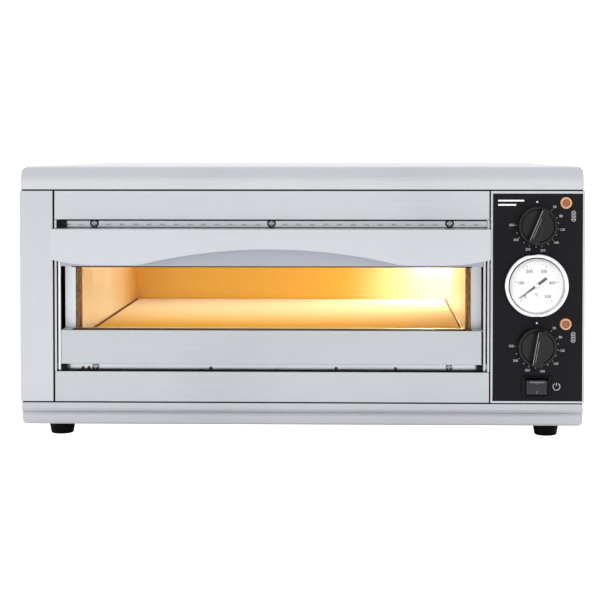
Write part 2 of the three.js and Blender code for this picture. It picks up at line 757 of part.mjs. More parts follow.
function addChamber() {
  const inside = {
    x: [x.chamber, x.chamberEnd],
    y: [y.chamber - 1, y.chamberEnd],
    z: [z.chamberFloor, z.ceiling],
  };
  const outside = block(
    [x.chamber - liner, x.chamberEnd + liner],
    [y.chamber, y.chamberEnd + liner],
    [z.chamberFloor - liner, z.ceiling + liner],
  );
  const ledges = [
    [x.chamber - liner / 2, x.chamber + stoneLedge],
    [x.chamberEnd - stoneLedge, x.chamberEnd + liner / 2],
  ].map((span) => block(span, [y.chamber, y.chamberEnd + liner / 2], [z.ledge - sheet, z.ledge]));
  const lampAt = { y: y.chamber + lampPort.depth, z: z.stone + lampPort.rise };
  const port = alongX(rodY(lampPort.radius + fit, -5, 5)).translate([x.chamberEnd, lampAt.y, lampAt.z]);
  const holes = [port, ...probeHoles(fit, x.chamberEnd - 1, x.chamberEnd + liner + 1)];
  const shell = cut(join(cut(outside, block(inside.x, inside.y, inside.z)), ...ledges), ...holes);
  place("chamber_shell", shell, look.liner);

  const stone = block(
    [x.chamber + stonePlay, x.chamberEnd - stonePlay],
    [y.chamber + fit, y.chamberEnd - stonePlay],
    [z.ledge + fit, z.stone],
  );
  place("baking_stone", stone, look.stone);
  const upperLevel = z.ceiling - heaterRadius - 4;
  const lowerLevel = z.chamberFloor + heaterSpace / 2;
  place("upper_heater", serpentine(upperLevel), look.element);
  place("lower_heater", serpentine(lowerLevel), look.element);

  // The lamp sits in the right-hand wall: holder outside, bulb through it, domed lens inside.
  const facing = (made) => alongX(made).translate([x.chamberEnd, lampAt.y, lampAt.z]);
  const lens = turned([
    [lampPort.radius, -0.5],
    [lampPort.radius, liner + 1],
    [lampPort.radius - 2, liner + 1],
    [lampPort.radius - 2, 0.5],
    [0, 0.5],
    [0, -lampPort.dome],
    [lampPort.radius - 4, -lampPort.dome],
    [lampPort.radius, -0.5],
  ]);
  place("lamp_lens", facing(lens), look.glass);
  const bulb = turned([[0, 1], [5, 1.6], [6, 3.4], [4, lampPort.bulb], [0, lampPort.bulb]], 16);
  place("lamp_bulb", facing(bulb), look.ceramic);
  const holder = turned([
    [0, lampPort.bulb + fit],
    [lampPort.radius, lampPort.bulb + fit],
    [lampPort.radius, x.partition - x.chamberEnd - 2],
    [0, x.partition - x.chamberEnd - 2],
  ]);
  place("lamp_holder", facing(holder), look.ceramic);
}

const blanket = { top: 30, bottom: 35 };

function addInsulation() {
  const play = 1;
  const left = x.left + sheet + play;
  const right = x.partition - play;
  const start = y.chamber + play;
  const end = y.rear - play;
  const belowShell = z.chamberFloor - liner - play;
  const aboveShell = z.ceiling + liner + play;
  const inTray = left + shoulder + sheet + play;
  const bottom = [belowShell - blanket.bottom, belowShell];
  place("bottom_insulation", block([inTray, right], [start, end], bottom), look.wool);
  const top = [aboveShell, aboveShell + blanket.top];
  place("top_insulation", block([inTray, right], [start, end], top), look.wool);
  const wrap = cut(
    block([left, right], [start, end], [belowShell + play, aboveShell - play]),
    block(
      [x.chamber - liner - play, x.chamberEnd + liner + play],
      [start - 1, y.chamberEnd + liner + play],
      [belowShell, aboveShell],
    ),
    alongX(rodY(lampPort.radius + play, 0, x.partition - x.chamberEnd)).translate([
      x.chamberEnd, y.chamber + lampPort.depth, z.stone + lampPort.rise,
    ]),
    ...probeHoles(play, x.chamberEnd, x.partition),
  );
  place("side_insulation", wrap, look.wool);
}

// ---------- control column ----------

function addControlPlates() {
  const knobHeights = [upperKnobHeight, lowerKnobHeight];
  const lampHeights = knobHeights.map((level) => level + lampOverKnob);
  const holes = [
    ...knobHeights.map((level) => rodY(shaftRadius + 1.5, -5, 5).translate([x.column, 0, level])),
    ...lampHeights.map((level) =>
      rodY(lampRadius - 1 + fit, -5, 5).translate([x.column + lampOffsetX, 0, level])),
    rodY(gaugeCanRadius + 0.5, -5, 5, 32).translate([x.gauge, 0, gaugeHeight]),
    block(
      [x.column - switchWidth / 2 + 2 - fit, x.column + switchWidth / 2 - 2 + fit],
      [-5, 5],
      [switchHeight - switchTall / 2 + 1.5 - fit, switchHeight + switchTall / 2 - 1.5 + fit],
    ),
  ];
  const plate = block([x.control, x.right], [0, sheet], [z.panels, z.upperTop]);
  place("control_panel", cut(plate, ...holes), look.stainless);
  const overlay = block(
    [x.control + overlayMargin.left, x.right - overlayMargin.right],
    [y.overlay, -fit],
    [z.panels + overlayMargin.bottom, z.upperTop - overlayMargin.top],
  );
  place("control_overlay", cut(overlay, ...holes), look.blackPlate);

  const partition = block([x.partition, x.partitionEnd], [12, y.rear - fit], [z.panels, z.upperTop]);
  const glands = probeHoles(fit, x.partition - 1, x.partitionEnd + 1);
  place("partition_plate", cut(partition, ...glands), look.galvanised);
}

const thermostat = { width: 42, depth: 34, tall: 46 };

function addKnob(prefix, level, turn) {
  const group = station(x.column, level, turn);
  const back = y.overlay - knobStandOff;
  const face = back - knobSkirt;
  const dish = face + faceDish.depth;
  const skirt = turned(
    [
      [0, dish],
      [knobRadius - faceDish.width, dish],
      [knobRadius - faceDish.edge, face],
      [knobRadius, face + rimDrop],
      [knobRadius, back],
      [0, back],
    ],
    32,
  );
  const gripHalf = knobRadius - gripInset;
  const front = face - gripRise;
  const grip = block([-gripWidth / 2, gripWidth / 2], [front, back - 1], [-gripHalf, gripHalf]);
  const seat = front + shaftSeat;
  const bore = rodY(shaftRadius + boreSlack, seat, back + 1);
  place(`${prefix}_knob`, cut(join(skirt, grip), bore), look.blackPlastic, group);
  const shaft = rodY(shaftRadius, seat + fit, sheet + fit + shaftReach);
  place(`${prefix}_knob_shaft`, shaft, look.galvanised, group);

  const body = cut(
    block(
      [x.column - thermostat.width / 2, x.column + thermostat.width / 2],
      [sheet + fit, sheet + fit + thermostat.depth],
      [level - thermostat.tall / 2, level + thermostat.tall / 2],
    ),
    rodY(shaftRadius + fit, 0, sheet + fit + shaftReach + 0.5).translate([x.column, 0, level]),
  );
  place(`${prefix}_thermostat`, body, look.ceramic);
  const lamp = turned([
    [0, y.overlay - lampDome[0]],
    [lampRadius * 0.6, y.overlay - lampDome[1]],
    [lampRadius, y.overlay - lampDome[2]],
    [lampRadius, y.overlay - fit],
    [lampRadius - 1, y.overlay - fit],
    [lampRadius - 1, lampReach],
    [0, lampReach],
  ]);
  const lampAt = [x.column + lampOffsetX, 0, level + lampOverKnob];
  place(`${prefix}_indicator`, lamp.translate(lampAt), look.amber);
}

function addGauge() {
  const group = station(x.gauge, gaugeHeight);
  const bezelRadius = gaugeCanRadius + bezelLip;
  const rim = y.overlay - fit;
  const lip = rim - bezelHeight;
  const can = turned(
    [
      [0, gaugeCanDepth],
      [0, gaugeCanDepth - gaugeBack],
      [gaugeCanRadius - gaugeWall, gaugeCanDepth - gaugeBack],
      [gaugeCanRadius - gaugeWall, lip + bezelRound.edge],
      [bezelRadius - bezelRound.face, lip],
      [bezelRadius - bezelRound.edge, lip],
      [bezelRadius, lip + bezelRound.drop],
      [bezelRadius, rim],
      [gaugeCanRadius, rim],
      [gaugeCanRadius, gaugeCanDepth],
      [0, gaugeCanDepth],
    ],
    40,
  );
  place("gauge_case", can, look.chrome, group);
  const inner = gaugeCanRadius - gaugeWall - fit;
  const dialAt = lip + dialSet;
  const spindleHole = rodY(spindleRadius + 0.6, dialAt - 1, dialAt + 2, 12);
  const dial = cut(rodY(inner, dialAt, dialAt + dialThickness, 40), spindleHole);
  place("gauge_dial", dial, look.white, group);
  const pane = rodY(inner, lip + glassSet, lip + glassSet + 1, 40);
  place("gauge_glass", pane, look.glass, group);

  const needleGroup = station(x.gauge, gaugeHeight, -pointerTurn);
  const needleAt = dialAt - needleGap;
  const needle = [needleAt, needleAt + needleThickness];
  const tip = prismY(outline([[-1, 0], [1, 0], [0.3, pointerTip], [-0.3, pointerTip]]), ...needle);
  const tail = block([-1.1, 1.1], needle, [-pointerTail, 0]);
  const hub = rodY(needleHub, needleAt - 0.2, needleAt + needleThickness + 0.2, 16);
  const spindle = rodY(spindleRadius, needleAt, gaugeCanDepth - gaugeBack - 2.5, 12);
  place("gauge_pointer", join(tip, tail, hub, spindle), look.blackPlastic, needleGroup);
}

function addSwitch() {
  const group = station(x.column, switchHeight);
  const rim = y.overlay - fit;
  const hw = switchWidth / 2;
  const ht = switchTall / 2;
  const sill = ht - switchSill;
  const neck = [[switchNeck.x - hw, hw - switchNeck.x], [switchNeck.z - ht, ht - switchNeck.z]];
  const body = cut(
    join(
      block([-hw, hw], [rim - 2, rim], [-ht, ht]),
      block(neck[0], [rim - 1, switchDepth], neck[1]),
    ),
    block([-hw + switchRim, hw - switchRim], [rim - 5, wellDepth], [-sill, sill]),
  );
  place("switch_body", body, look.blackPlastic, group);

  const rocker = new THREE.Group();
  rocker.position.y = pivotDepth;
  rocker.rotation.x = THREE.MathUtils.degToRad(rockerTilt);
  group.add(rocker);
  const tall = sill - rockerPlay;
  const section = outline([
    [-paddle.ends, tall],
    [-paddle.crown, 0],
    [-paddle.ends, -tall],
    [-paddle.heel, -tall],
    [paddle.foot, -paddle.footHalf],
    [paddle.foot, paddle.footHalf],
    [-paddle.heel, tall],
  ]);
  const reach = hw - switchRim - paddle.play;
  place("switch_rocker", prismX(section, -reach, reach), look.blackPlastic, rocker);
}

const terminals = { half: 22, front: 45, rear: 20, low: 12, high: 30 };
const gland = { inside: 14, flange: 5, nut: 4, tip: 2 };

function addWiring() {
  const strip = block(
    [x.column - terminals.half, x.column + terminals.half],
    [y.rear - terminals.front, y.rear - terminals.rear],
    [z.panels + terminals.low, z.panels + terminals.high],
  );
  place("terminal_block", strip, look.ceramic);
  const bush = turned([
    [0, y.rear - gland.inside],
    [glandRadius, y.rear - gland.inside],
    [glandRadius, bodyDepth + fit],
    [glandFlange, bodyDepth + fit],
    [glandFlange, bodyDepth + gland.flange],
    [glandRadius, bodyDepth + glandLength - gland.nut],
    [glandRadius - gland.tip, bodyDepth + glandLength],
    [0, bodyDepth + glandLength],
  ]);
  place("cable_gland", bush.translate([glandX, 0, z.panels + glandRise]), look.blackPlastic);
}

// ---------- assembly ----------

addLidAndBase();
addSides();
addFrontPanels();
addFeet();
addMouthFrame();
addScrews();
addDoor();
addHinges();
addChamber();
addInsulation();
addProbes();
addControlPlates();
addKnob("upper", upperKnobHeight, upperKnobTurn);
addKnob("lower", lowerKnobHeight, lowerKnobTurn);
addGauge();
addSwitch();
addWiring();

export default oven;
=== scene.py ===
# %% [markdown]
# # A countertop deck oven
# The oven is a stainless cabinet round one baking chamber. A glazed door hinges down in
# front, and a black control column on the right carries two thermostat knobs, a dial
# thermometer and a rocker switch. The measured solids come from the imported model. This
# lesson gives them their finish, and makes anew the pieces whose shape the eye reads most.

import math

import bmesh
import bpy
from mathutils import Matrix, Vector


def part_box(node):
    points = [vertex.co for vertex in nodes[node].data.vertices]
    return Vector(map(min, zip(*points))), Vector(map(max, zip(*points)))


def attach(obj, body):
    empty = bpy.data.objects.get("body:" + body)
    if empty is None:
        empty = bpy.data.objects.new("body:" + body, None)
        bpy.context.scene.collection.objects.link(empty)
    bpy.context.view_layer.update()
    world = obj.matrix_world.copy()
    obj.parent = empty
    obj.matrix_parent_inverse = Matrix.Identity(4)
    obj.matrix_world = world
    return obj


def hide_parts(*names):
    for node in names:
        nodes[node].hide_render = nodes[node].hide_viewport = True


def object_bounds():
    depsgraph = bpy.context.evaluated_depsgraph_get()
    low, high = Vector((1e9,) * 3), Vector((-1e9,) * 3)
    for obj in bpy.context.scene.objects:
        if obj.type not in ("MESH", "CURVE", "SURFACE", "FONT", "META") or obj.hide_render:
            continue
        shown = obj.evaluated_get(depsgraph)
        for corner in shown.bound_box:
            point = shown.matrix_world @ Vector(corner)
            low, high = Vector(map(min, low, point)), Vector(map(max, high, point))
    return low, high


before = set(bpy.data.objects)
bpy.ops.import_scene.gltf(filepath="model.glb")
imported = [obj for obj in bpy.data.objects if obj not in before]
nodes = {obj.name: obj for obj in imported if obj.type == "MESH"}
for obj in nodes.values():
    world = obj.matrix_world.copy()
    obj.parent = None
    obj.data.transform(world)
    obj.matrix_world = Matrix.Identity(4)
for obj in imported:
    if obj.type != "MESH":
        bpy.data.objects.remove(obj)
bpy.context.view_layer.update()
cad_low, cad_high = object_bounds()
print("the solids fill", [round(1000 * v, 1) for v in (*cad_low, *cad_high)], "mm")

# %% [markdown]
# ## Camera
# The oven was seen by someone standing in front, a little above it. A long lens keeps the
# edges nearly parallel. Part of the downward look is made by turning the camera and part
# by shifting the lens, so uprights stay upright and every other view still fits.

# %% Make the camera
scene = bpy.context.scene
MM = 0.001  # one millimetre in metres
front_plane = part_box("upper_front_panel")[0].y / MM  # the cabinet's front, in mm

camera = bpy.data.objects.new("camera", bpy.data.cameras.new("camera"))
scene.collection.objects.link(camera)
scene.camera = camera
camera.data.sensor_width = 36
camera.data.lens = 89.2
camera.data.shift_x = -0.045
camera.data.shift_y = -0.18
camera.data.clip_start = 0.05
camera.location = (0.0600, -1.7329, 0.2933)
look_down, look_left = math.radians(1.593), math.radians(1.31)
camera.rotation_euler = (math.pi / 2 - look_down, 0, look_left)
print("camera", [round(v, 3) for v in camera.location])

# %% [markdown]
# ## Studio
# A pale floor runs out to a white room. The room is a little dimmer overhead, which is
# what gives the rounded edge of the lid its soft grey upper line. Three large soft panels
# light it from the left, the right and above. Metal mirrors only the room, not the panels,
# so they leave no hard streaks on it.

# %% Colours and nodes
def linear(code):
    """An sRGB hex colour as linear red, green, blue and alpha."""
    parts = [int(code[i : i + 2], 16) / 255 for i in (1, 3, 5)]
    return (*(v / 12.92 if v <= 0.04045 else ((v + 0.055) / 1.055) ** 2.4 for v in parts), 1)


def add_node(tree, kind, inputs=None, **settings):
    """Adds a node. Settings are its options; an input is a value or a socket to link."""
    made = tree.nodes.new(kind)
    for name, value in settings.items():
        setattr(made, name, value)
    for socket, value in (inputs or {}).items():
        if isinstance(value, bpy.types.NodeSocket):
            tree.links.new(value, made.inputs[socket])
        else:
            made.inputs[socket].default_value = value
    return made


# %% Room and floor
scene.view_settings.view_transform = "Standard"
scene.view_settings.look = "None"

room = bpy.data.worlds.new("white_room")
room.use_nodes = True
scene.world = room
sky = room.node_tree
toward = add_node(sky, "ShaderNodeTexCoord")
height = add_node(sky, "ShaderNodeSeparateXYZ", {"Vector": toward.outputs["Generated"]})
shade = add_node(sky, "ShaderNodeValToRGB", {"Fac": height.outputs["Z"]})
shade.color_ramp.elements[0].position = 0.16
shade.color_ramp.elements[0].color = linear("#ffffff")
shade.color_ramp.elements[1].position = 0.75
shade.color_ramp.elements[1].color = linear("#eeeef3")
sky.links.new(shade.outputs["Color"], sky.nodes["Background"].inputs["Color"])
sky.nodes["Background"].inputs["Strength"].default_value = 1.12

FLOOR_REACH = 60.0  # metres from the middle, so that no edge shows


def lay_floor(name, colour, glow, seen_by):
    """A floor sheet that only some kinds of ray meet."""
    mesh = bpy.data.meshes.new(name)
    signs = ((-1, -1), (1, -1), (1, 1), (-1, 1))
    corners = [(x * FLOOR_REACH, y * FLOOR_REACH, 0) for x, y in signs]
    mesh.from_pydata(corners, [], [(0, 1, 2, 3)])
    sheet = bpy.data.objects.new(name, mesh)
    scene.collection.objects.link(sheet)
    for kind in ("camera", "diffuse", "glossy", "transmission"):
        setattr(sheet, "visible_" + kind, kind in seen_by)
    paper = bpy.data.materials.new(name + "_paper")
    paper.use_nodes = True
    shader = paper.node_tree.nodes["Principled BSDF"]
    shader.inputs["Base Color"].default_value = linear(colour)
    shader.inputs["Roughness"].default_value = 0.9
    shader.inputs["Specular IOR Level"].default_value = 0.1
    shader.inputs["Emission Color"].default_value = linear("#ffffff")
    shader.inputs["Emission Strength"].default_value = glow
    mesh.materials.append(paper)
    return sheet


# The sheet that shows is lit from below, as on a light table, so shadows hardly mark it.
# The one that metal mirrors is plain paper, and its shadow under the oven darkens the base.
lay_floor("light_table", "#bcbcbc", 0.88, ("camera",)).visible_shadow = False
lay_floor("plain_floor", "#f4f4f4", 0.14, ("diffuse", "glossy", "transmission"))


def soft_panel(name, place, aim, size, watts):
    """A square soft light that faces a point and isn't mirrored by metal."""
    lamp = bpy.data.lights.new(name, "AREA")
    lamp.shape = "SQUARE"
    lamp.size = size
    lamp.energy = watts
    panel = bpy.data.objects.new(name, lamp)
    scene.collection.objects.link(panel)
    panel.location = place
    panel.rotation_euler = (Vector(aim) - Vector(place)).to_track_quat("-Z", "Y").to_euler()
    panel.visible_camera = panel.visible_glossy = False


middle = (cad_low + cad_high) / 2
soft_panel("key_panel", (-1.5, -1.9, 1.9), middle, 1.2, 22)
soft_panel("fill_panel", (1.7, -1.6, 1.3), middle, 1.2, 10)
soft_panel("top_panel", (0, 0.4, 2.4), middle, 1.8, 14)

# %% [markdown]
# ## Brushed stainless steel
# The cabinet is AISI 430 sheet with a number 4 finish: a belt has left fine scratches that
# all run one way. They break the reflection into soft streaks, so the steel looks pale and
# satin rather than mirror-like. Real scratches are about 0.1 mm apart. They are drawn
# 0.9 mm apart here, so that they show, and each is about 70 mm long. The panels differ a
# little in tone, and these tones are painted light and shade: the rail in the hood's shadow,
# the frame strip in the gaps and the base low by the floor are painted darker, and the left
# stile is painted lighter.

# %% Finishes of sheet steel
finishes = {}
NOISE = "ShaderNodeTexNoise"


def new_finish(name, values):
    """A material whose shader sockets are set directly."""
    made = bpy.data.materials.new(name)
    made.use_nodes = True
    shader = made.node_tree.nodes["Principled BSDF"]
    for socket, value in values.items():
        shader.inputs[socket].default_value = value
    finishes[name] = made
    return made, made.node_tree, shader


def place_pattern(tree, size_mm):
    """Object coordinates scaled so that one unit of a pattern is that many millimetres."""
    spot = add_node(tree, "ShaderNodeTexCoord")
    scale = tuple(1 / (v * MM) for v in size_mm)
    return add_node(
        tree, "ShaderNodeMapping", {"Vector": spot.outputs["Object"], "Scale": scale}
    ).outputs["Vector"]


SCRATCH_LENGTH, SCRATCH_SPACING = 70, 0.9


def brushed_steel(name, light, dark, along, rough=(0.28, 0.42), relief=0.012):
    """Brushed sheet with its scratches along X, Y or Z."""
    _, tree, shader = new_finish(name, {"Metallic": 1.0})
    size = [SCRATCH_SPACING] * 3
    size["XYZ".index(along)] = SCRATCH_LENGTH
    scratches = add_node(
        tree,
        NOISE,
        {"Vector": place_pattern(tree, size), "Scale": 1.0, "Detail": 3.0, "Roughness": 0.65},
    )
    clouds = add_node(
        tree,
        NOISE,
        {"Vector": place_pattern(tree, (140, 140, 140)), "Scale": 1.0, "Detail": 2.0},
    )
    both = add_node(
        tree,
        "ShaderNodeMath",
        {0: scratches.outputs["Fac"], 1: clouds.outputs["Fac"]},
        operation="ADD",
    )
    tone = add_node(tree, "ShaderNodeValToRGB", {"Fac": both.outputs["Value"]})
    tone.color_ramp.elements[0].position, tone.color_ramp.elements[1].position = 0.7, 1.0
    tone.color_ramp.elements[0].color, tone.color_ramp.elements[1].color = map(
        linear, (dark, light)
    )
    # The two noises together lie round 1, and the ramp reads values from 0.7 to 1.
    spread = add_node(
        tree,
        "ShaderNodeMapRange",
        {"Value": scratches.outputs["Fac"], 1: 0.3, 2: 0.7, 3: rough[0], 4: rough[1]},
    )
    groove = add_node(
        tree,
        "ShaderNodeBump",
        {"Height": scratches.outputs["Fac"], "Strength": 0.35, "Distance": relief * MM},
    )
    tree.links.new(tone.outputs["Color"], shader.inputs["Base Color"])
    tree.links.new(spread.outputs["Result"], shader.inputs["Roughness"])
    tree.links.new(groove.outputs["Normal"], shader.inputs["Normal"])
    return finishes[name]


brushed_steel("lid_steel", "#ccced1", "#c5c7cb", "X", rough=(0.2, 0.3), relief=0.006)
# Painted shade: the base is darker for the shadow under the oven.
brushed_steel("shaded_base_steel", "#b4b5b9", "#aeafb4", "X", rough=(0.2, 0.28), relief=0.003)
brushed_steel("cabinet_steel", "#c1c3c6", "#b9bbbf", "Z")
brushed_steel("side_steel", "#c4c6c9", "#babcc0", "Y")
brushed_steel("column_steel", "#c3c5c9", "#bbbdc1", "Z")
# Painted light: the left stile is lighter, as if its face were lit.
brushed_steel("lit_stile_steel", "#d8dadc", "#d0d2d5", "Z")
brushed_steel("panel_steel", "#c3c7ca", "#babec1", "X")
brushed_steel("plinth_steel", "#b8bcbf", "#b0b4b7", "X")
brushed_steel("rail_steel", "#b6babd", "#aeb2b5", "X")
brushed_steel("hood_steel", "#c5c7cb", "#bfc1c5", "X")
# Painted shade: the top rail lies in the hood's shadow.
brushed_steel("shaded_steel", "#a9abb4", "#9a9da8", "X")
# Painted shade: the frame strip lies deep in the gaps.
brushed_steel("shaded_strip_steel", "#bcbec1", "#b4b6ba", "X", rough=(0.2, 0.32))
print(len(finishes), "finishes of sheet steel")

# %% [markdown]
# ## Plain metals
# Galvanised sheet shows the grey flakes, called spangle, of its zinc skin, each a few
# millimetres across. Polished chrome on the gauge ring and screws is almost a mirror. The
# heating elements are oxidised steel tube, dark and rough.

# %% Galvanised sheet, chrome and oxidised tube
def mottled(name, light, dark, size_mm, values, rough, relief=0.0, pattern="ShaderNodeTexVoronoi"):
    """A surface that wanders between two tones, in patches of a real size."""
    _, tree, shader = new_finish(name, values)
    patches = add_node(tree, pattern, {"Vector": place_pattern(tree, size_mm), "Scale": 1.0})
    field = patches.outputs["Distance" if pattern == "ShaderNodeTexVoronoi" else "Fac"]
    tone = add_node(tree, "ShaderNodeValToRGB", {"Fac": field})
    tone.color_ramp.elements[0].position, tone.color_ramp.elements[1].position = 0.25, 0.75
    tone.color_ramp.elements[0].color, tone.color_ramp.elements[1].color = map(
        linear, (dark, light)
    )
    spread = add_node(
        tree, "ShaderNodeMapRange", {"Value": field, 1: 0.2, 2: 0.8, 3: rough[0], 4: rough[1]}
    )
    tree.links.new(tone.outputs["Color"], shader.inputs["Base Color"])
    tree.links.new(spread.outputs["Result"], shader.inputs["Roughness"])
    if relief:
        bumps = add_node(
            tree, "ShaderNodeBump", {"Height": field, "Strength": 0.5, "Distance": relief * MM}
        )
        tree.links.new(bumps.outputs["Normal"], shader.inputs["Normal"])
    return finishes[name]


METAL = {"Metallic": 1.0}
mottled("zinc_spangle", "#b8bcbf", "#abafb3", (6, 6, 6), METAL, (0.36, 0.5))
mottled("polished_chrome", "#f1f2f4", "#e4e6e8", (20, 20, 20), METAL, (0.08, 0.14), 0, NOISE)
mottled("oxidised_tube", "#6b625b", "#4a433e", (5, 5, 5), METAL, (0.45, 0.65), 0.05, NOISE)
mottled("dark_screw", "#a4a6ab", "#86888d", (4, 4, 4), METAL, (0.22, 0.32), 0.0, NOISE)
# The same browned steel is painted shade in the gaps along the stone's sides.
mottled("browned_steel", "#b07c46", "#7c5430", (6, 6, 6), METAL, (0.4, 0.55), 0.0, NOISE)
mottled("copper_bulb", "#c58a5c", "#a86f45", (6, 6, 6), METAL, (0.3, 0.45), 0.0, NOISE)

# %% [markdown]
# ## Chamber liner
# The chamber is aluminised sheet that has been baked. Heat has dulled it and turned it
# straw-coloured, deeper towards the rear. The colour follows depth, and the dull skin makes
# the surface part metal and part scattering. Beside the lamp the sheet is painted pale:
# painted light from the lamp.

# %% Tinted liner, painted pale beside the lamp
LAMP_GLOW_STRIP = 130  # mm of sheet next to the lamp painted pale: painted light from the lamp


def heat_tinted(name, front_colour, rear_colour, y_front, y_rear, x_lamp):
    _, tree, shader = new_finish(name, {"Metallic": 0.6})
    spot = add_node(tree, "ShaderNodeTexCoord")
    depth = add_node(tree, "ShaderNodeSeparateXYZ", {"Vector": spot.outputs["Object"]})
    along = add_node(
        tree, "ShaderNodeMapRange", {"Value": depth.outputs["Y"], 1: y_front, 2: y_rear}
    )
    tint = add_node(tree, "ShaderNodeValToRGB", {"Fac": along.outputs["Result"]})
    tint.color_ramp.elements[0].position, tint.color_ramp.elements[1].position = 0.5, 0.98
    tint.color_ramp.elements[0].color = linear(front_colour)
    tint.color_ramp.elements[1].color = linear(rear_colour)
    stains = add_node(
        tree,
        NOISE,
        {"Vector": place_pattern(tree, (40, 40, 40)), "Scale": 1.0, "Detail": 4.0},
    )
    spread = add_node(
        tree,
        "ShaderNodeMapRange",
        {"Value": stains.outputs["Fac"], 1: 0.3, 2: 0.7, 3: 0.3, 4: 0.5},
    )
    # Beside the lamp the sheet is mixed towards pale cream: painted light from the lamp.
    beside = add_node(
        tree,
        "ShaderNodeMapRange",
        {"Value": depth.outputs["X"], 1: x_lamp - LAMP_GLOW_STRIP * MM, 2: x_lamp},
    )
    pale = add_node(
        tree,
        "ShaderNodeMix",
        {0: beside.outputs["Result"], 6: tint.outputs["Color"]},
        data_type="RGBA",
    )
    pale.inputs[7].default_value = linear("#fdf6e6")
    tree.links.new(pale.outputs[2], shader.inputs["Base Color"])
    tree.links.new(spread.outputs["Result"], shader.inputs["Roughness"])


shell_low, shell_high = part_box("chamber_shell")
heat_tinted("baked_liner_and_lamp_glow", "#f2eeea", "#e8b84a", shell_low.y, shell_high.y, shell_high.x)
print("liner tinted over", round(1000 * (shell_high.y - shell_low.y)), "mm of depth")

# %% [markdown]
# ## Stone, rope, wool and ceramic
# The baking stone is cordierite with a sandy grain of about 2 mm. The door rope is brown
# glass braid with a 3 mm lay. The insulation is mineral wool. Thermostat bodies and lamp
# holders are glazed steatite, and the gauge face is white enamel.

# %% Baking stone
# The front of the stone, far from the lamp, is painted darker and warmer than the rear: painted
# shade and warm bounce light.
_, tree, shader = new_finish("cordierite_stone", {"Specular IOR Level": 0.2})
spot = add_node(tree, "ShaderNodeTexCoord")
depth = add_node(tree, "ShaderNodeSeparateXYZ", {"Vector": spot.outputs["Object"]})
stone_low, stone_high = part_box("baking_stone")
along = add_node(
    tree, "ShaderNodeMapRange", {"Value": depth.outputs["Y"], 1: stone_low.y, 2: stone_high.y}
)
grain = add_node(
    tree, NOISE, {"Vector": place_pattern(tree, (2.2, 2.2, 2.2)), "Scale": 1.0, "Detail": 3.0}
)
speckle = add_node(
    tree,
    "ShaderNodeMapRange",
    {"Value": grain.outputs["Fac"], 1: 0.2, 2: 0.8, 3: -0.08, 4: 0.08},
)
mixed = add_node(
    tree,
    "ShaderNodeMath",
    {0: along.outputs["Result"], 1: speckle.outputs["Result"]},
    operation="ADD",
)
lamp_falloff_tone = add_node(tree, "ShaderNodeValToRGB", {"Fac": mixed.outputs["Value"]})
lamp_falloff_tone.color_ramp.elements[0].position = 0.3
lamp_falloff_tone.color_ramp.elements[0].color = linear("#c4933a")
lamp_falloff_tone.color_ramp.elements[1].color = linear("#f0e6d8")
sand = add_node(
    tree,
    "ShaderNodeBump",
    {"Height": grain.outputs["Fac"], "Strength": 0.5, "Distance": 0.15 * MM},
)
tree.links.new(lamp_falloff_tone.outputs["Color"], shader.inputs["Base Color"])
tree.links.new(sand.outputs["Normal"], shader.inputs["Normal"])
shader.inputs["Roughness"].default_value = 0.85

# %% Finishes of the inside
# The rope's brown is set lighter than the braid's own: painted light, as the rope lies in shadow
# behind the glass.
mottled("braided_rope", "#c08648", "#8a5a2a", (3, 3, 3), {}, (0.8, 0.95), 0.3)
mottled("mineral_wool", "#d8d0b4", "#bfb491", (6, 1.5, 1.5), {}, (0.9, 1.0), 0.4, NOISE)
mottled("glazed_steatite", "#f0ece0", "#e2dccb", (9, 9, 9), {}, (0.25, 0.4), 0.0, NOISE)
mottled("white_enamel", "#f8f8f7", "#f1f1f0", (25, 25, 25), {}, (0.3, 0.4), 0.0, NOISE)

# %% [markdown]
# ## Black film, plastic and rubber
# The control column is covered with a matt polycarbonate film, printed white from behind.
# Knobs and switch are black phenolic with a fine spark-eroded grain of 0.6 mm. The feet
# are moulded rubber, duller still.

# %% Finishes of the controls
DULL = {"Specular IOR Level": 0.12}
SLEEK = {"Specular IOR Level": 0.34}
MATT = {"Specular IOR Level": 0.0}
GRAIN = (0.6, 0.6, 0.6)
mottled("black_film", "#141317", "#100f13", (1.2, 1.2, 1.2), DULL, (0.42, 0.5), 0.01, NOISE)
mottled("black_phenolic", "#111113", "#0b0b0d", GRAIN, DULL, (0.28, 0.4), 0.02, NOISE)
mottled("knob_phenolic", "#08080a", "#050506", GRAIN, SLEEK, (0.2, 0.28), 0.01, NOISE)
mottled("switch_nylon", "#38383a", "#2c2c2e", GRAIN, DULL, (0.35, 0.45), 0.02, NOISE)
# Painted highlight on the rocker's raised top edge.
mottled("paddle_edge_highlight", "#6c6c70", "#5e5e62", GRAIN, DULL, (0.35, 0.45), 0.02, NOISE)
# Painted shade on the inner faces of the door stiles.
mottled("black_felt", "#040404", "#020202", (0.8, 0.8, 0.8), MATT, (0.9, 1.0), 0.1, NOISE)
mottled("bead_rubber", "#4a2f1a", "#38220f", (2, 2, 2), DULL, (0.6, 0.75), 0.05, NOISE)
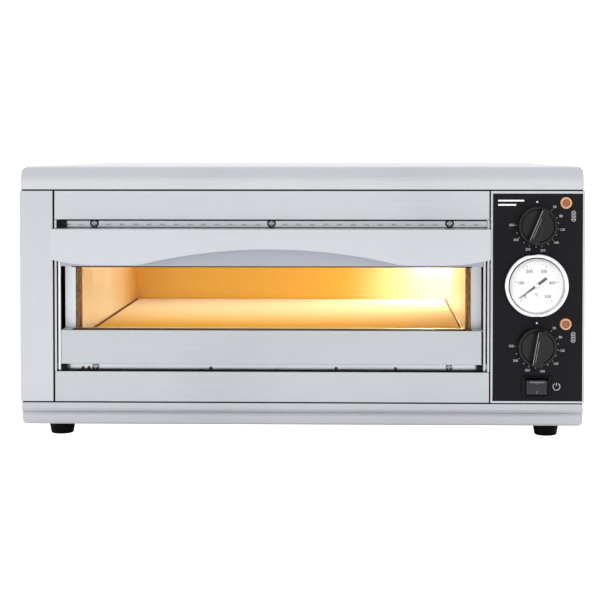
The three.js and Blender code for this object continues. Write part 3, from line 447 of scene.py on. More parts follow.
# The same black rubber is painted shade in the seams, at the rail's end and under the gauge lip.
mottled("black_rubber_and_shade", "#0a0a0a", "#050505", (1.5, 1.5, 1.5), DULL, (0.6, 0.75), 0.05, NOISE)
mottled("white_ink", "#f2f2f0", "#e6e6e4", (1, 1, 1), {}, (0.5, 0.6), 0.0, NOISE)
mottled("pale_ink", "#bdbdbf", "#a9a9ac", (1, 1, 1), DULL, (0.5, 0.6), 0.0, NOISE)
mottled("grey_ink_and_highlight", "#8f8f92", "#7c7c80", (1, 1, 1), DULL, (0.5, 0.6), 0.0, NOISE)
mottled("dial_ink", "#4c4c50", "#3c3c40", (1, 1, 1), {}, (0.45, 0.55), 0.0, NOISE)
mottled("black_ink", "#1d1d1f", "#141416", (1, 1, 1), {}, (0.45, 0.55), 0.0, NOISE)

# %% [markdown]
# ## Glass and lamp lenses
# The door glass is tempered and coated against reflections, so it is given the IOR that
# mirrors as little as the coating does, and the faintest haze of cleaning marks.
# The two indicators are amber polycarbonate, IOR 1.58, that glow a little from within.

# %% Clear and amber
def clear(name, colour, ior, rough):
    values = {"Base Color": linear(colour), "IOR": ior, "Transmission Weight": 1.0}
    _, tree, shader = new_finish(name, values | DULL)
    haze = add_node(
        tree,
        NOISE,
        {"Vector": place_pattern(tree, (60, 60, 60)), "Scale": 1.0, "Detail": 3.0},
    )
    spread = add_node(
        tree,
        "ShaderNodeMapRange",
        {"Value": haze.outputs["Fac"], 1: 0.3, 2: 0.7, 3: rough[0], 4: rough[1]},
    )
    tree.links.new(spread.outputs["Result"], shader.inputs["Roughness"])


clear("tempered_glass", "#fbfdfc", 1.18, (0.0, 0.02))
clear("gauge_pane", "#ffffff", 1.49, (0.0, 0.01))
clear("frosted_lens", "#fff6e6", 1.5, (0.2, 0.35))
LAMP = {"IOR": 1.58, "Coat Weight": 0.5, "Emission Strength": 0.05}
LAMP["Emission Color"] = linear("#d08a50")
mottled("peach_rim", "#d09c74", "#bb855f", (3, 3, 3), LAMP, (0.25, 0.35), 0.0, NOISE)
mottled("amber_lens", "#96552f", "#7a4224", (1.6, 1.6, 1.6), LAMP, (0.2, 0.3), 0.3, NOISE)
print(len(finishes), "finishes")

# %% [markdown]
# ## Dressing the solids
# Folded sheet never has a knife edge: a press brake leaves a radius about as large as the
# sheet is thick, and it is this radius that catches a bright line of light. Each solid
# keeps its own mesh. Modifiers weld its corners, round its edges and smooth its curves.

# %% Edge rounding for the solids
SHARP = math.radians(32)  # faces that meet at more than this form an edge

tidy = bpy.data.node_groups.new("weld_and_smooth", "GeometryNodeTree")
tidy.interface.new_socket("Geometry", in_out="INPUT", socket_type="NodeSocketGeometry")
tidy.interface.new_socket("Geometry", in_out="OUTPUT", socket_type="NodeSocketGeometry")
given = add_node(tidy, "NodeGroupInput")
loose = add_node(
    tidy,
    "GeometryNodeRemoveAttribute",
    {"Geometry": given.outputs[0], "Name": "custom_normal"},
)
welded = add_node(
    tidy, "GeometryNodeMergeByDistance", {"Geometry": loose.outputs[0], "Distance": 0.005 * MM}
)
smooth_faces = add_node(
    tidy, "GeometryNodeSetShadeSmooth", {"Geometry": welded.outputs[0], "Shade Smooth": True}
)
fold = add_node(tidy, "GeometryNodeInputMeshEdgeAngle")
crease = add_node(
    tidy,
    "FunctionNodeCompare",
    {0: fold.outputs["Unsigned Angle"], 1: SHARP},
    data_type="FLOAT",
    operation="GREATER_THAN",
)
creased = add_node(
    tidy,
    "GeometryNodeSetShadeSmooth",
    {
        "Geometry": smooth_faces.outputs[0],
        "Selection": crease.outputs[0],
        "Shade Smooth": False,
    },
    domain="EDGE",
)
add_node(tidy, "NodeGroupOutput", {0: creased.outputs[0]})


def round_edges(piece, radius_mm, segments=2):
    """Welds, joins level faces, rounds sharp edges and evens the shading."""
    piece.modifiers.new("weld_and_smooth", "NODES").node_group = tidy
    if radius_mm:
        level = piece.modifiers.new("level_faces", "DECIMATE")
        level.decimate_type, level.angle_limit = "DISSOLVE", math.radians(0.3)
        edge = piece.modifiers.new("edge_radius", "BEVEL")
        edge.width, edge.segments = radius_mm * MM, segments
        edge.limit_method, edge.angle_limit = "ANGLE", SHARP
        even = piece.modifiers.new("even_shading", "WEIGHTED_NORMAL")
        even.keep_sharp = True


def paint(piece, finish):
    """Puts one finish in every slot of a piece."""
    if not piece.data.materials:
        piece.data.materials.append(finishes[finish])
    for place in piece.material_slots:
        place.link = "OBJECT"
        place.material = finishes[finish]


# %% Which finish and which edge radius each solid has
dressing = {
    "lid_steel": {"top_cover": 0.25},
    "shaded_base_steel": {"base_pan": 0.25},
    "shaded_steel": {"door_top_rail": 0.35},
    "cabinet_steel": {"left_side_panel": 0.45, "door_right_stile": 0.3},
    "lit_stile_steel": {"door_left_stile": 0.3},
    "column_steel": {"control_panel": 0.3},
    "side_steel": {"right_side_panel": 0.35},
    "panel_steel": {"upper_front_panel": 0.45},
    "plinth_steel": {"lower_front_panel": 0.45},
    "rail_steel": {"door_bottom_rail": 0.45},
    "hood_steel": {"door_hood": 0.4},
    "shaded_strip_steel": {"mouth_frame": 0.25},
    "zinc_spangle": {
        "back_panel": 0.3,
        "partition_plate": 0.2,
        "upper_knob_shaft": 0,
        "lower_knob_shaft": 0,
    },
    "baked_liner_and_lamp_glow": {"chamber_shell": 0.3},
    "cordierite_stone": {"baking_stone": 1.2},
    "braided_rope": {"mouth_seal": 0.8},
    "mineral_wool": {"top_insulation": 3, "bottom_insulation": 3, "side_insulation": 2},
    "oxidised_tube": {"upper_heater": 0, "lower_heater": 0},
    "copper_bulb": {"upper_sensor": 0, "lower_sensor": 0, "gauge_probe": 0},
    "polished_chrome": {"hinge_pin_left": 0, "hinge_pin_right": 0},
    "black_film": {"control_overlay": 0.12},
    "black_phenolic": {"hinge_block_left": 0.3, "hinge_block_right": 0.3},
    "glazed_steatite": {
        "upper_thermostat": 0.8,
        "lower_thermostat": 0.8,
        "terminal_block": 0.8,
        "lamp_holder": 0,
        "lamp_bulb": 0,
    },
    "tempered_glass": {"door_glass": 0.5},
    "frosted_lens": {"lamp_lens": 0},
    "switch_nylon": {"switch_rocker": 0.5},
}
for finish, solids in dressing.items():
    for name, radius in solids.items():
        round_edges(nodes[name], radius)
        paint(nodes[name], finish)
print(sum(len(v) for v in dressing.values()), "solids dressed")

# %% [markdown]
# ## Turned pieces
# Knob skirts, gauge ring, lamp bezels, feet and screws are all round. One function spins
# a half outline about an axis that points at the viewer, as a lathe would. The outline is
# a list of radius and depth in millimetres, and depth grows away from the front.

# %% A lathe, and a skin over rings of points
def lathe(outline, segments=64):
    """A closed surface of revolution about Y, as a bmesh. Points on the axis are poles."""
    made = bmesh.new()
    rings = []
    for radius, depth in outline:
        if radius == 0:
            rings.append([made.verts.new((0, depth * MM, 0))])
            continue
        ring = []
        for i in range(segments):
            turn = 2 * math.pi * i / segments
            ring.append(
                made.verts.new(
                    (radius * MM * math.sin(turn), depth * MM, radius * MM * math.cos(turn))
                )
            )
        rings.append(ring)
    for one, two in zip(rings, rings[1:]):
        for i in range(segments):
            j = (i + 1) % segments
            a, b = one[i % len(one)], one[j % len(one)]
            c, d = two[j % len(two)], two[i % len(two)]
            corners = list(dict.fromkeys((a, b, c, d)))
            if len(corners) > 2:
                made.faces.new(corners)
    bmesh.ops.remove_doubles(made, verts=made.verts, dist=1e-6)
    bmesh.ops.recalc_face_normals(made, faces=made.faces)
    return made


def skin(stack):
    """A closed surface through a stack of rings of points, in millimetres, as a bmesh."""
    made = bmesh.new()
    rings = [[made.verts.new([v * MM for v in point]) for point in ring] for ring in stack]
    count = len(rings[0])
    for one, two in zip(rings, rings[1:]):
        for i in range(count):
            j = (i + 1) % count
            made.faces.new((one[i], one[j], two[j], two[i]))
    made.faces.new(rings[0])
    made.faces.new(rings[-1])
    bmesh.ops.recalc_face_normals(made, faces=made.faces)
    return made


def loft(levels):
    """Skins a stack of outlines, each a list of x, z with one depth, in millimetres."""
    return skin([[(x, depth, z) for x, z in ring] for ring, depth in levels])


def fillet(centre_r, centre_y, radius, start, end, steps=5):
    """Points on a small arc of an outline, from one angle to another in degrees."""
    points = []
    for i in range(steps + 1):
        turn = math.radians(start + (end - start) * i / steps)
        points.append((centre_r + radius * math.cos(turn), centre_y + radius * math.sin(turn)))
    return points


def add_piece(name, shape, finish, body, radius_mm=0, place=None, stands_for=(), segments=2):
    """Makes an object from a bmesh or mesh, gives it its finish and edges, hangs it on its body
    and hides the solids it stands for.
    """
    mesh = shape
    if isinstance(shape, bmesh.types.BMesh):
        mesh = bpy.data.meshes.new(name)
        shape.to_mesh(mesh)
        shape.free()
    piece = bpy.data.objects.new(name, mesh)
    scene.collection.objects.link(piece)
    if place is not None:
        piece.matrix_world = place if isinstance(place, Matrix) else Matrix.Translation(place)
    paint(piece, finish)
    round_edges(piece, radius_mm, segments)
    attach(piece, body)
    if stands_for:
        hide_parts(*stands_for)
    return piece


def centre(node):
    low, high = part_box(node)
    return (low + high) / 2


# %% [markdown]
# ## Feet
# Each foot is a rubber buffer with a rounded sole, a waist that widens upwards and a ring
# round its top where the mould closed.

# %% Four rubber feet
for name in [n for n in nodes if n.startswith("foot_")]:
    low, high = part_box(name)
    tall = (high.z - low.z) / MM
    wide = (high.x - low.x) / 2 / MM
    sole = wide - 3
    outline = [(0, 0.6), (sole - 4, 0.6), (sole - 3.4, 0)]
    outline += fillet(sole - 1.2, 1.2, 1.2, -90, -10)
    outline += [(wide - 0.9, tall - 3.2)] + fillet(wide - 0.5, tall - 2.2, 0.5, -60, 0, 3)
    outline += [(wide, tall - 0.6), (wide - 0.5, tall), (0, tall)]
    stand = Matrix.Translation((*centre(name).xy, low.z)) @ Matrix.Rotation(math.pi / 2, 4, "X")
    add_piece(
        "rubber_" + name, lathe(outline, 40), "black_rubber_and_shade", "cabinet",
        place=stand, stands_for=(name,),
    )
print("feet", round(tall, 1), "mm tall")

# %% [markdown]
# ## Knobs
# A thermostat knob is a round skirt with a grip across its whole width. The grip has a
# draft, the slight taper that lets it leave the mould. A grey strip along the grip's left
# edge is a painted highlight. A shallow groove in the grip is filled with white: that is the
# pointer.

# %% A grip that follows the skirt's circle
def grip_shape(levels):
    """A tapered bar with round ends. A level is half width at tip and tail, reach and depth."""
    stack = []
    for tip, tail, reach, depth in levels:
        around = []
        for half, end in ((tip, 0), (tail, math.pi)):
            spread = math.asin(half / reach)
            around += [end + spread - 2 * spread * i / 8 for i in range(9)]
        stack.append([(reach * math.sin(a), depth, reach * math.cos(a)) for a in around])
    return skin(stack)


# %% Two thermostat knobs
def box_bmesh(low, high):
    """A box between two corners in millimetres, as a bmesh."""
    made = bmesh.new()
    bmesh.ops.create_cube(made, size=1)
    size = [(b - a) * MM for a, b in zip(low, high)]
    mid = [(a + b) / 2 * MM for a, b in zip(low, high)]
    bmesh.ops.scale(made, vec=size, verts=made.verts)
    bmesh.ops.translate(made, vec=mid, verts=made.verts)
    return made


knob_turn = {"upper": 20, "lower": 7}  # degrees clockwise from the zero mark at rest
SKIRT_RADIUS, GRIP_RISE = 19.3, 15  # mm; the grip stands this far over the skirt
for side, turn in knob_turn.items():
    low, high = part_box(side + "_knob")
    front, back = low.y / MM, high.y / MM
    radius, skirt = SKIRT_RADIUS, front + GRIP_RISE
    shaft = centre(side + "_knob_shaft")
    hub = Matrix.Translation((shaft.x, 0, shaft.z))
    hub @= Matrix.Rotation(math.radians(turn), 4, "Y")
    outline = [(0, skirt + 0.9), (radius - 3.5, skirt + 0.9), (radius - 2.6, skirt)]
    outline += fillet(radius - 1.0, skirt + 1.0, 1.0, -90, 0)
    outline += [(radius, back - 0.6), (radius - 0.6, back), (0, back)]
    add_piece(
        side + "_temperature_knob", lathe(outline, 96), "knob_phenolic", side + "_dial",
        place=hub, stands_for=(side + "_knob",),
    )
    grip = grip_shape(
        [
            (4.0, 5.8, radius - 0.5, skirt + 2),
            (3.8, 5.5, radius - 0.9, skirt - 4),
            (3.6, 5.3, radius - 1.5, front + 0.6),
            (3.2, 4.9, radius - 2.0, front),
        ]
    )
    add_piece(
        side + "_knob_grip", grip, "knob_phenolic", side + "_dial", 0.35,
        place=hub,
    )
    # The line inlay along the grip's left edge is a painted highlight; the groove inlay is the
    # pointer.
    for part, shift, low_end, high_end, wide in (
        ("line", -3.75, -16.0, 16.0, 0.6), ("groove", -1.7, -13.0, 8.0, 0.36),
    ):
        lean = hub @ Matrix.Translation((shift * MM, 0, 0))
        lean @= Matrix.Rotation(math.radians(3), 4, "Y")
        inlay = box_bmesh((-wide / 2, front - 0.08, low_end), (wide / 2, front + 0.3, high_end))
        add_piece(
            f"{side}_knob_pointer_{part}", inlay, "grey_ink_and_highlight", side + "_dial", 0,
            place=lean,
        )
print("knob radius", SKIRT_RADIUS, "mm, depth", round(back - front, 1), "mm")

# %% [markdown]
# ## Dial thermometer
# A pressed and chromed ring holds a flat pane over an enamelled face. A black ring set a
# little off-centre under the lip is painted shadow: it shows as a thin dark arc on one side,
# which makes the ring look deep. The face carries a scale to 500 degrees, marked every 20.

# %% Ring and can
gauge = centre("gauge_case")
gauge_low, gauge_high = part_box("gauge_case")
ring_radius = (gauge_high.z - gauge_low.z) / 2 / MM
ring_front = gauge_low.y / MM
can_back = gauge_high.y / MM
ring_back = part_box("control_overlay")[0].y / MM - 0.3
can_radius = ring_radius - 3.4
outline = [(0, can_back), (can_radius - 0.6, can_back), (can_radius, can_back - 0.6)]
outline += [(can_radius, ring_back), (ring_radius - 0.5, ring_back)]
outline += [(ring_radius, ring_back - 0.6), (ring_radius, ring_front + 2.4)]
outline += fillet(ring_radius - 2.0, ring_front + 2.0, 2.0, 0, -100, 8)
outline += fillet(ring_radius - 3.2, ring_front + 1.1, 0.8, -100, -170, 3)
bore = can_radius - 1.2
outline += [(bore, ring_front + 4.4), (bore, can_back - 1.5), (0, can_back - 1.5)]
add_piece(
    "gauge_ring", lathe(outline, 96), "polished_chrome", "cabinet",
    place=(gauge.x, 0, gauge.z), stands_for=("gauge_case",),
)
dial_low, dial_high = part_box("gauge_dial")
dial_radius = (dial_high.z - dial_low.z) / 2 / MM
face, rear = dial_low.y / MM, dial_high.y / MM
add_piece(
    "gauge_face",
    lathe([(1.6, face), (dial_radius - 0.4, face), (dial_radius, face + 0.3), (dial_radius, rear),
           (1.6, rear), (1.6, face)], 96),
    "white_enamel", "cabinet", place=(gauge.x, 0, gauge.z),
    stands_for=("gauge_dial",),
)
pane_low, pane_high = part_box("gauge_glass")
near, far = pane_low.y / MM, pane_high.y / MM
add_piece(
    "gauge_window",
    lathe([(0, near), (dial_radius - 0.3, near), (dial_radius, near + 0.3), (dial_radius, far),
           (0, far)], 96),
    "gauge_pane", "cabinet", place=(gauge.x, 0, gauge.z), stands_for=("gauge_glass",),
)
# Painted shadow: a black ring, set off-centre, shows as a dark arc under the lip.
painted_shadow = [(27.6, ring_front + 1.0), (28.8, ring_front + 1.0), (28.8, ring_front + 1.7),
          (27.6, ring_front + 1.7), (27.6, ring_front + 1.0)]
add_piece("gauge_gasket", lathe(painted_shadow, 96), "black_rubber_and_shade", "cabinet",
          place=(gauge.x + 0.5 * MM, 0, gauge.z - 0.5 * MM))
print("gauge ring radius", round(ring_radius, 1), "mm")

# %% Printing
INK = 0.05  # mm of ink above the surface it is printed on


def lettering(text, tall):
    """A word as a flat mesh, its middle at the origin, facing the viewer."""
    curve = bpy.data.curves.new("word", "FONT")
    curve.body, curve.align_x, curve.align_y = text, "CENTER", "CENTER"
    curve.size, curve.resolution_u = tall * MM * 1.35, 3
    curve.offset = tall * MM * 0.018
    word = bpy.data.objects.new("word", curve)
    scene.collection.objects.link(word)
    bpy.context.view_layer.update()
    seen = word.evaluated_get(bpy.context.evaluated_depsgraph_get())
    mesh = bpy.data.meshes.new_from_object(seen)
    bpy.data.objects.remove(word)
    bpy.data.curves.remove(curve)
    mesh.transform(Matrix.Rotation(math.pi / 2, 4, "X"))
    return mesh


def bar(long, wide):
    """A flat mark, its middle at the origin."""
    mesh = bpy.data.meshes.new("mark")
    h, w = long / 2 * MM, wide / 2 * MM
    mesh.from_pydata([(-w, 0, -h), (w, 0, -h), (w, 0, h), (-w, 0, h)], [], [(0, 1, 2, 3)])
    return mesh


def spot(radius, hole=0.0, start=0, end=360, steps=24):
    """A flat dot, or part of a ring if it has a hole."""
    made = bmesh.new()
    whole = end - start == 360
    turns = [math.radians(start + (end - start) * i / steps) for i in range(steps + (not whole))]
    outer = [
        made.verts.new((radius * MM * math.sin(t), 0, radius * MM * math.cos(t))) for t in turns
    ]
    if not hole:
        made.faces.new(outer)
    else:
        inner = [
            made.verts.new((hole * MM * math.sin(t), 0, hole * MM * math.cos(t))) for t in turns
        ]
        for i in range(len(turns) - (not whole)):
            j = (i + 1) % len(turns)
            made.faces.new((outer[i], outer[j], inner[j], inner[i]))
    mesh = bpy.data.meshes.new("dot")
    made.to_mesh(mesh)
    made.free()
    return mesh


def printed(name, marks, finish, body, place):
    """Joins flat marks, each a mesh with its x, z and clockwise turn, into one print."""
    made = bmesh.new()
    for mesh, x, z, turn in marks:
        mesh.transform(
            Matrix.Translation((x * MM, 0, z * MM)) @ Matrix.Rotation(math.radians(turn), 4, "Y")
        )
        made.from_mesh(mesh)
        bpy.data.meshes.remove(mesh)
    bmesh.ops.recalc_face_normals(made, faces=made.faces)
    bmesh.ops.triangulate(made, faces=made.faces)
    for flat in made.faces:
        if flat.normal.y > 0:
            flat.normal_flip()
    thick = bmesh.ops.extrude_face_region(made, geom=list(made.faces))
    lifted = [v for v in thick["geom"] if isinstance(v, bmesh.types.BMVert)]
    bmesh.ops.translate(made, vec=(0, -INK * MM, 0), verts=lifted)
    bmesh.ops.recalc_face_normals(made, faces=made.faces)
    return add_piece(name, made, finish, body, place=place)


def on_circle(radius, turn):
    """The x and z of a clock position: turn is clockwise from the top."""
    return radius * math.sin(math.radians(turn)), radius * math.cos(math.radians(turn))


# %% Scale of the thermometer
marks = []
for step in range(26):
    turn = -135 + step * 270 / 25
    long, wide = (2.6, 0.5) if step % 5 == 0 else (1.3, 0.28)
    marks.append((bar(long, wide), *on_circle(22.6 - long / 2, turn), turn))
for step in range(6):
    marks.append((lettering(str(100 * step), 3.3), *on_circle(15.8, -135 + 54 * step), 0))
marks.append((lettering("°C", 3.0), 0, -9.5, 0))
printed("gauge_scale_print", marks, "dial_ink", "cabinet",
        (gauge.x, face * MM - 0.01 * MM, gauge.z))

# %% Pointer
# The pointer is a blackened strip, thin at the tip and blunt at the tail, under a bright cap.
spindle_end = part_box("gauge_pointer")[1].y / MM
aim = Matrix.Translation((gauge.x, 0, gauge.z)) @ Matrix.Rotation(math.radians(-127), 4, "Y")
needle_front = face - 1.3
profile = [(-0.3, 21), (0.3, 21), (0.9, 3), (0.9, 0), (1.25, -3), (1.25, -12), (0.8, -12.5),
           (-0.8, -12.5), (-1.25, -12), (-1.25, -3), (-0.9, 0), (-0.9, 3)]
needle = loft([(profile, needle_front), (profile, needle_front + 0.5)])
add_piece("gauge_needle", needle, "black_ink", "pointer", place=aim,
          stands_for=("gauge_pointer",))
cap = [(0, needle_front - 0.75), (1.6, needle_front - 0.7), (2.3, needle_front - 0.3),
       (2.4, needle_front + 0.5), (1.0, needle_front + 0.5), (1.0, spindle_end),
       (0, spindle_end)]
add_piece("needle_cap", lathe(cap, 32), "polished_chrome", "pointer", place=aim)

# %% [markdown]
# ## Indicator lamps
# Beside each knob sits a neon lamp behind an amber window. The window has a raised rim and
# a stepped middle, so it shows as a pale ring round a darker centre.

# %% Two indicators
for side in ("upper", "lower"):
    low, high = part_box(side + "_indicator")
    at = centre(side + "_indicator")
    wide = (high.z - low.z) / 2 / MM
    front, base, back = low.y / MM, ring_back, high.y / MM
    rim = [(wide - 2.4, front + 1.1)] + fillet(wide - 1.3, front + 1.0, 1.0, -160, 0, 6)
    rim += [(wide, base), (wide - 1, base), (wide - 1, back), (0, back), (0, back - 1),
            (wide - 2.4, back - 1), (wide - 2.4, front + 1.1)]
    add_piece(side + "_lamp_rim", lathe(rim, 48), "peach_rim", "cabinet",
              place=(at.x, 0, at.z), stands_for=(side + "_indicator",))
    lens = [(0, front + 0.7), (1.2, front + 0.75), (1.5, front + 1.2), (wide - 2.7, front + 1.5),
            (wide - 2.6, front + 3), (0, front + 3)]
    add_piece(side + "_lamp_window", lathe(lens, 8), "amber_lens", "cabinet",
              place=(at.x, 0, at.z))

# %% [markdown]
# ## Rocker switch
# The switch snaps into the column from the front. Its frame has rounded corners and a
# sloped inner lip round the well where the paddle tilts.

# %% Switch frame
WELL_DEPTH, PIVOT_DEPTH, TILT = 12, 3, 8  # mm, mm and degrees
PADDLE_CROWN, PADDLE_SWELL = 5.6, 1.6  # mm in front of the pivot, and more at the ends


def rounded_rectangle(half_x, half_z, corner, steps=5):
    points = []
    for cx, cz, start in ((1, 1, 0), (-1, 1, 90), (-1, -1, 180), (1, -1, 270)):
        for i in range(steps + 1):
            turn = math.radians(start + 90 * i / steps)
            points.append(
                (cx * (half_x - corner) + corner * math.cos(turn),
                 cz * (half_z - corner) + corner * math.sin(turn))
            )
    return points


switch_low, switch_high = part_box("switch_body")
switch = centre("switch_body")
half_x = (switch_high.x - switch_low.x) / 2 / MM
half_z = (switch_high.z - switch_low.z) / 2 / MM
paddle_half = half_z - 3.8
front, back = switch_low.y / MM, switch_high.y / MM
well_x, well_z = half_x - 4.4, half_z - 2.4
frame_levels = [
    (rounded_rectangle(half_x - 2, half_z - 1.5, 0.5), back),
    (rounded_rectangle(half_x - 2, half_z - 1.5, 0.5), front + 2),
    (rounded_rectangle(half_x, half_z, 1.2), front + 2),
    (rounded_rectangle(half_x, half_z, 1.2), front + 1),
    (rounded_rectangle(half_x - 0.9, half_z - 0.9, 1.0), front),
    (rounded_rectangle(well_x + 0.8, well_z + 0.6, 0.8), front),
    (rounded_rectangle(well_x, well_z, 0.4), front + 1.2),
    (rounded_rectangle(well_x, well_z, 0.4), front_plane + WELL_DEPTH),
]
add_piece("switch_frame", loft(frame_levels), "black_phenolic", "cabinet", 0.15,
          place=(switch.x, 0, switch.z), stands_for=("switch_body",))

# %% Marks on the rocker
# The paddle's two slopes carry a ring at the top for off and a bar at the bottom for on.
hinge_line = Matrix.Translation((switch.x, (front_plane + PIVOT_DEPTH) * MM, switch.z))
tilt = hinge_line @ Matrix.Rotation(math.radians(TILT), 4, "X")
# A raised strip along the paddle's top edge is painted a lighter grey: a painted highlight on that
# edge.
top_edge = half_z - 4.0
section = [(-7.9, top_edge), (-7.9, top_edge - 1.8), (-7.0, top_edge - 2.2), (-6.6, top_edge)]
strip = skin([[(x, y, z) for y, z in section] for x in (-7.7, 7.7)])
add_piece("rocker_edge_highlight", strip, "paddle_edge_highlight", "rocker", 0.2, place=tilt)
lean = math.degrees(math.atan2(PADDLE_SWELL, paddle_half))
for name, mark, z_at, slope in (
    ("rocker_off_mark", spot(1.5, 1.1), 5.2, -lean),
    ("rocker_on_mark", bar(2.6, 0.5), -4.6, lean),
):
    depth = -PADDLE_CROWN - PADDLE_SWELL * abs(z_at) / paddle_half - 0.06
    stand = tilt @ Matrix.Translation((0, depth * MM, z_at * MM))
    stand = stand @ Matrix.Rotation(math.radians(-slope), 4, "X")
    printed(name, [(mark, 0, 0, 0)], "grey_ink_and_highlight", "rocker", stand)

# %% [markdown]
# ## Printing on the column
# White ink numbers the knobs in degrees, clockwise from 50 to 350, with dots between. A
# small grille sign stands by each lamp and a power sign by the switch. Two plain rules
# finish the upper left corner.

# %% Knob scales and signs
ink_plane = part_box("control_overlay")[0].y - 0.01 * MM
numbers = {50: 43, 80: 68, 120: 99, 160: 132, 200: 167, 250: 201, 300: 236, 350: 271}
dots = (82.5, 115.5, 149, 183, 217.5, 250)
TICK_RADIUS, NUMERAL_RADIUS, OFF_DOT_RADIUS = 21.4, 25.5, 23.7  # mm from the shaft
for side in ("upper", "lower"):
    at = centre(side + "_knob_shaft")
    printed(side + "_off_dot", [(spot(0.9), 0, OFF_DOT_RADIUS, 0)], "white_ink", "cabinet",
            (at.x, ink_plane, at.z))
    marks = []
    for degrees, turn in numbers.items():
        marks.append((lettering(str(degrees), 2.5), *on_circle(NUMERAL_RADIUS, turn), 0))
        marks.append((bar(1.4, 0.4), *on_circle(TICK_RADIUS, turn), turn))
    marks += [(spot(0.5), *on_circle(TICK_RADIUS, turn), 0) for turn in dots]
    printed(side + "_knob_scale", marks, "pale_ink", "cabinet",
            (at.x, ink_plane, at.z))
    lamp = centre(side + "_indicator")
    grille = [(spot(2.2, 1.7, -90, 90, 12), 0, 3.2, 0), (spot(2.2, 1.7, 90, 270, 12), 0, -3.2, 0)]
    grille += [(bar(6.4, 0.5), side_x, 0, 0) for side_x in (-1.95, 1.95)]
    grille += [(bar(0.6, 3.4), 0, z_at, 0) for z_at in (-3.2, -1.6, 0, 1.6, 3.2)]
    printed(side + "_heat_sign", grille, "pale_ink", "cabinet",
            (lamp.x + 7.7 * MM, ink_plane, lamp.z - 13.2 * MM))
power = [(spot(3.8, 3.1, 30, 330, 28), 0, 0, 0), (bar(3.4, 0.65), 0, 2.2, 0)]
printed("power_sign", power, "pale_ink", "cabinet",
        (switch.x + 19.9 * MM, ink_plane, switch.z))
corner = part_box("control_overlay")
rules = [(bar(1.6, 26), 13, 0, 0), (bar(1.6, 18), 9, -4.2, 0)]
printed("corner_rules", rules, "white_ink", "cabinet",
        (corner[0].x + 5 * MM, ink_plane, corner[1].z - 7 * MM))

# %% [markdown]
# ## Screws
# Pan-head screws with a cross recess hold every panel. One head is modelled, with the
# recess cut out of it, and its mesh is shared by all the screws.

# %% One pan head
def pan_head(name, radius, tall, shank, reach_mm):
    """A screw head whose seat is at depth 0, with a cross recess, facing the viewer."""
    outline = [(0, -tall)]
    for i in range(1, 6):
        turn = math.radians(18 * i)
        outline.append((radius * math.sin(turn), -tall * (0.35 + 0.65 * math.cos(turn))))
    outline += [(radius, 0), (shank, 0), (shank, reach_mm), (0, reach_mm)]
    body = lathe(outline, 24)
    mesh = bpy.data.meshes.new(name)
    body.to_mesh(mesh)
    body.free()
    head = bpy.data.objects.new(name, mesh)
    scene.collection.objects.link(head)
    cross = bmesh.new()
    for long, wide in ((radius * 0.7, radius * 0.2), (radius * 0.2, radius * 0.7)):
        arm = box_bmesh((-long, -tall - 1, -wide), (long, -tall * 0.35, wide))
        piece = bpy.data.meshes.new("arm")
        arm.to_mesh(piece)
        arm.free()
        cross.from_mesh(piece)
        bpy.data.meshes.remove(piece)
    cutter_mesh = bpy.data.meshes.new("cross")
    cross.to_mesh(cutter_mesh)
    cross.free()
    cutter = bpy.data.objects.new("cross", cutter_mesh)
    scene.collection.objects.link(cutter)
    recess = head.modifiers.new("recess", "BOOLEAN")
    recess.object, recess.operation, recess.solver = cutter, "DIFFERENCE", "EXACT"
    recess.use_self = True
    bpy.context.view_layer.update()
    seen = head.evaluated_get(bpy.context.evaluated_depsgraph_get())
    made = bpy.data.meshes.new_from_object(seen)
    made.name = name
    for spare in (head, cutter):
        bpy.data.objects.remove(spare)
    return made


HEAD = 2.0  # mm from a frame screw's seat to the top of its head
frame_screw = pan_head("frame_screw", 3.4, HEAD, 1.5, 9)
panel_screw = pan_head("panel_screw", 3.2, 1.6, 1.4, 0.9)
small_screw = pan_head("small_screw", 1.7, 0.9, 0.9, 1.2)
for name in [n for n in nodes if "_screw_" in n]:
    at = centre(name)
    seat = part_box(name)[0].y + HEAD * MM
    add_piece(name.replace("_screw_", "_pan_screw_"), frame_screw, "dark_screw", "cabinet",
              place=(at.x, seat, at.z), stands_for=(name,))
    if name.startswith("lintel"):
        ring = [(3.5, 0.0), (3.9, -0.6), (4.4, -0.5), (4.5, 0.25), (3.5, 0.25), (3.5, 0.0)]
        add_piece(name.replace("_screw_", "_seal_ring_"), lathe(ring, 32), "black_rubber_and_shade",
                  "cabinet", place=(at.x, seat, at.z))

# %% Screws of the back and the sides
rear_low, rear_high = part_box("back_panel")
left_low, left_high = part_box("left_side_panel")
right_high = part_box("right_side_panel")[1]
facing = {"rear": math.pi, "left": -math.pi / 2, "right": math.pi / 2}
inset = 7 * MM
seats = []
for i in range(6):
    x = rear_low.x + inset + (rear_high.x - rear_low.x - 2 * inset) * i / 5
    for z in (rear_low.z + inset, rear_high.z - inset):
        seats.append(((x, rear_high.y, z), "rear"))
for y in (left_low.y + 60 * MM, (left_low.y + left_high.y) / 2, left_high.y - 30 * MM):
    for z in (left_low.z + inset, left_high.z - inset):
        seats.append(((left_low.x, y, z), "left"))
        seats.append(((right_high.x, y, z), "right"))
for i, (spot_at, side) in enumerate(seats):
    place = Matrix.Translation(spot_at) @ Matrix.Rotation(facing[side], 4, "Z")
    add_piece(f"{side}_panel_screw_{i + 1}", panel_screw, "polished_chrome", "cabinet",
              place=place)
middle_x = centre("baking_stone").x
strip_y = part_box("sill_screw_1")[0].y + HEAD * MM
for i, x in enumerate((-192, -186, -62, 65, 125, 180)):
    add_piece(f"sill_small_screw_{i + 1}", small_screw, "oxidised_tube", "cabinet",
              place=(middle_x + x * MM, strip_y, centre("sill_screw_1").z - 1.6 * MM))
print(len(seats), "panel screws")

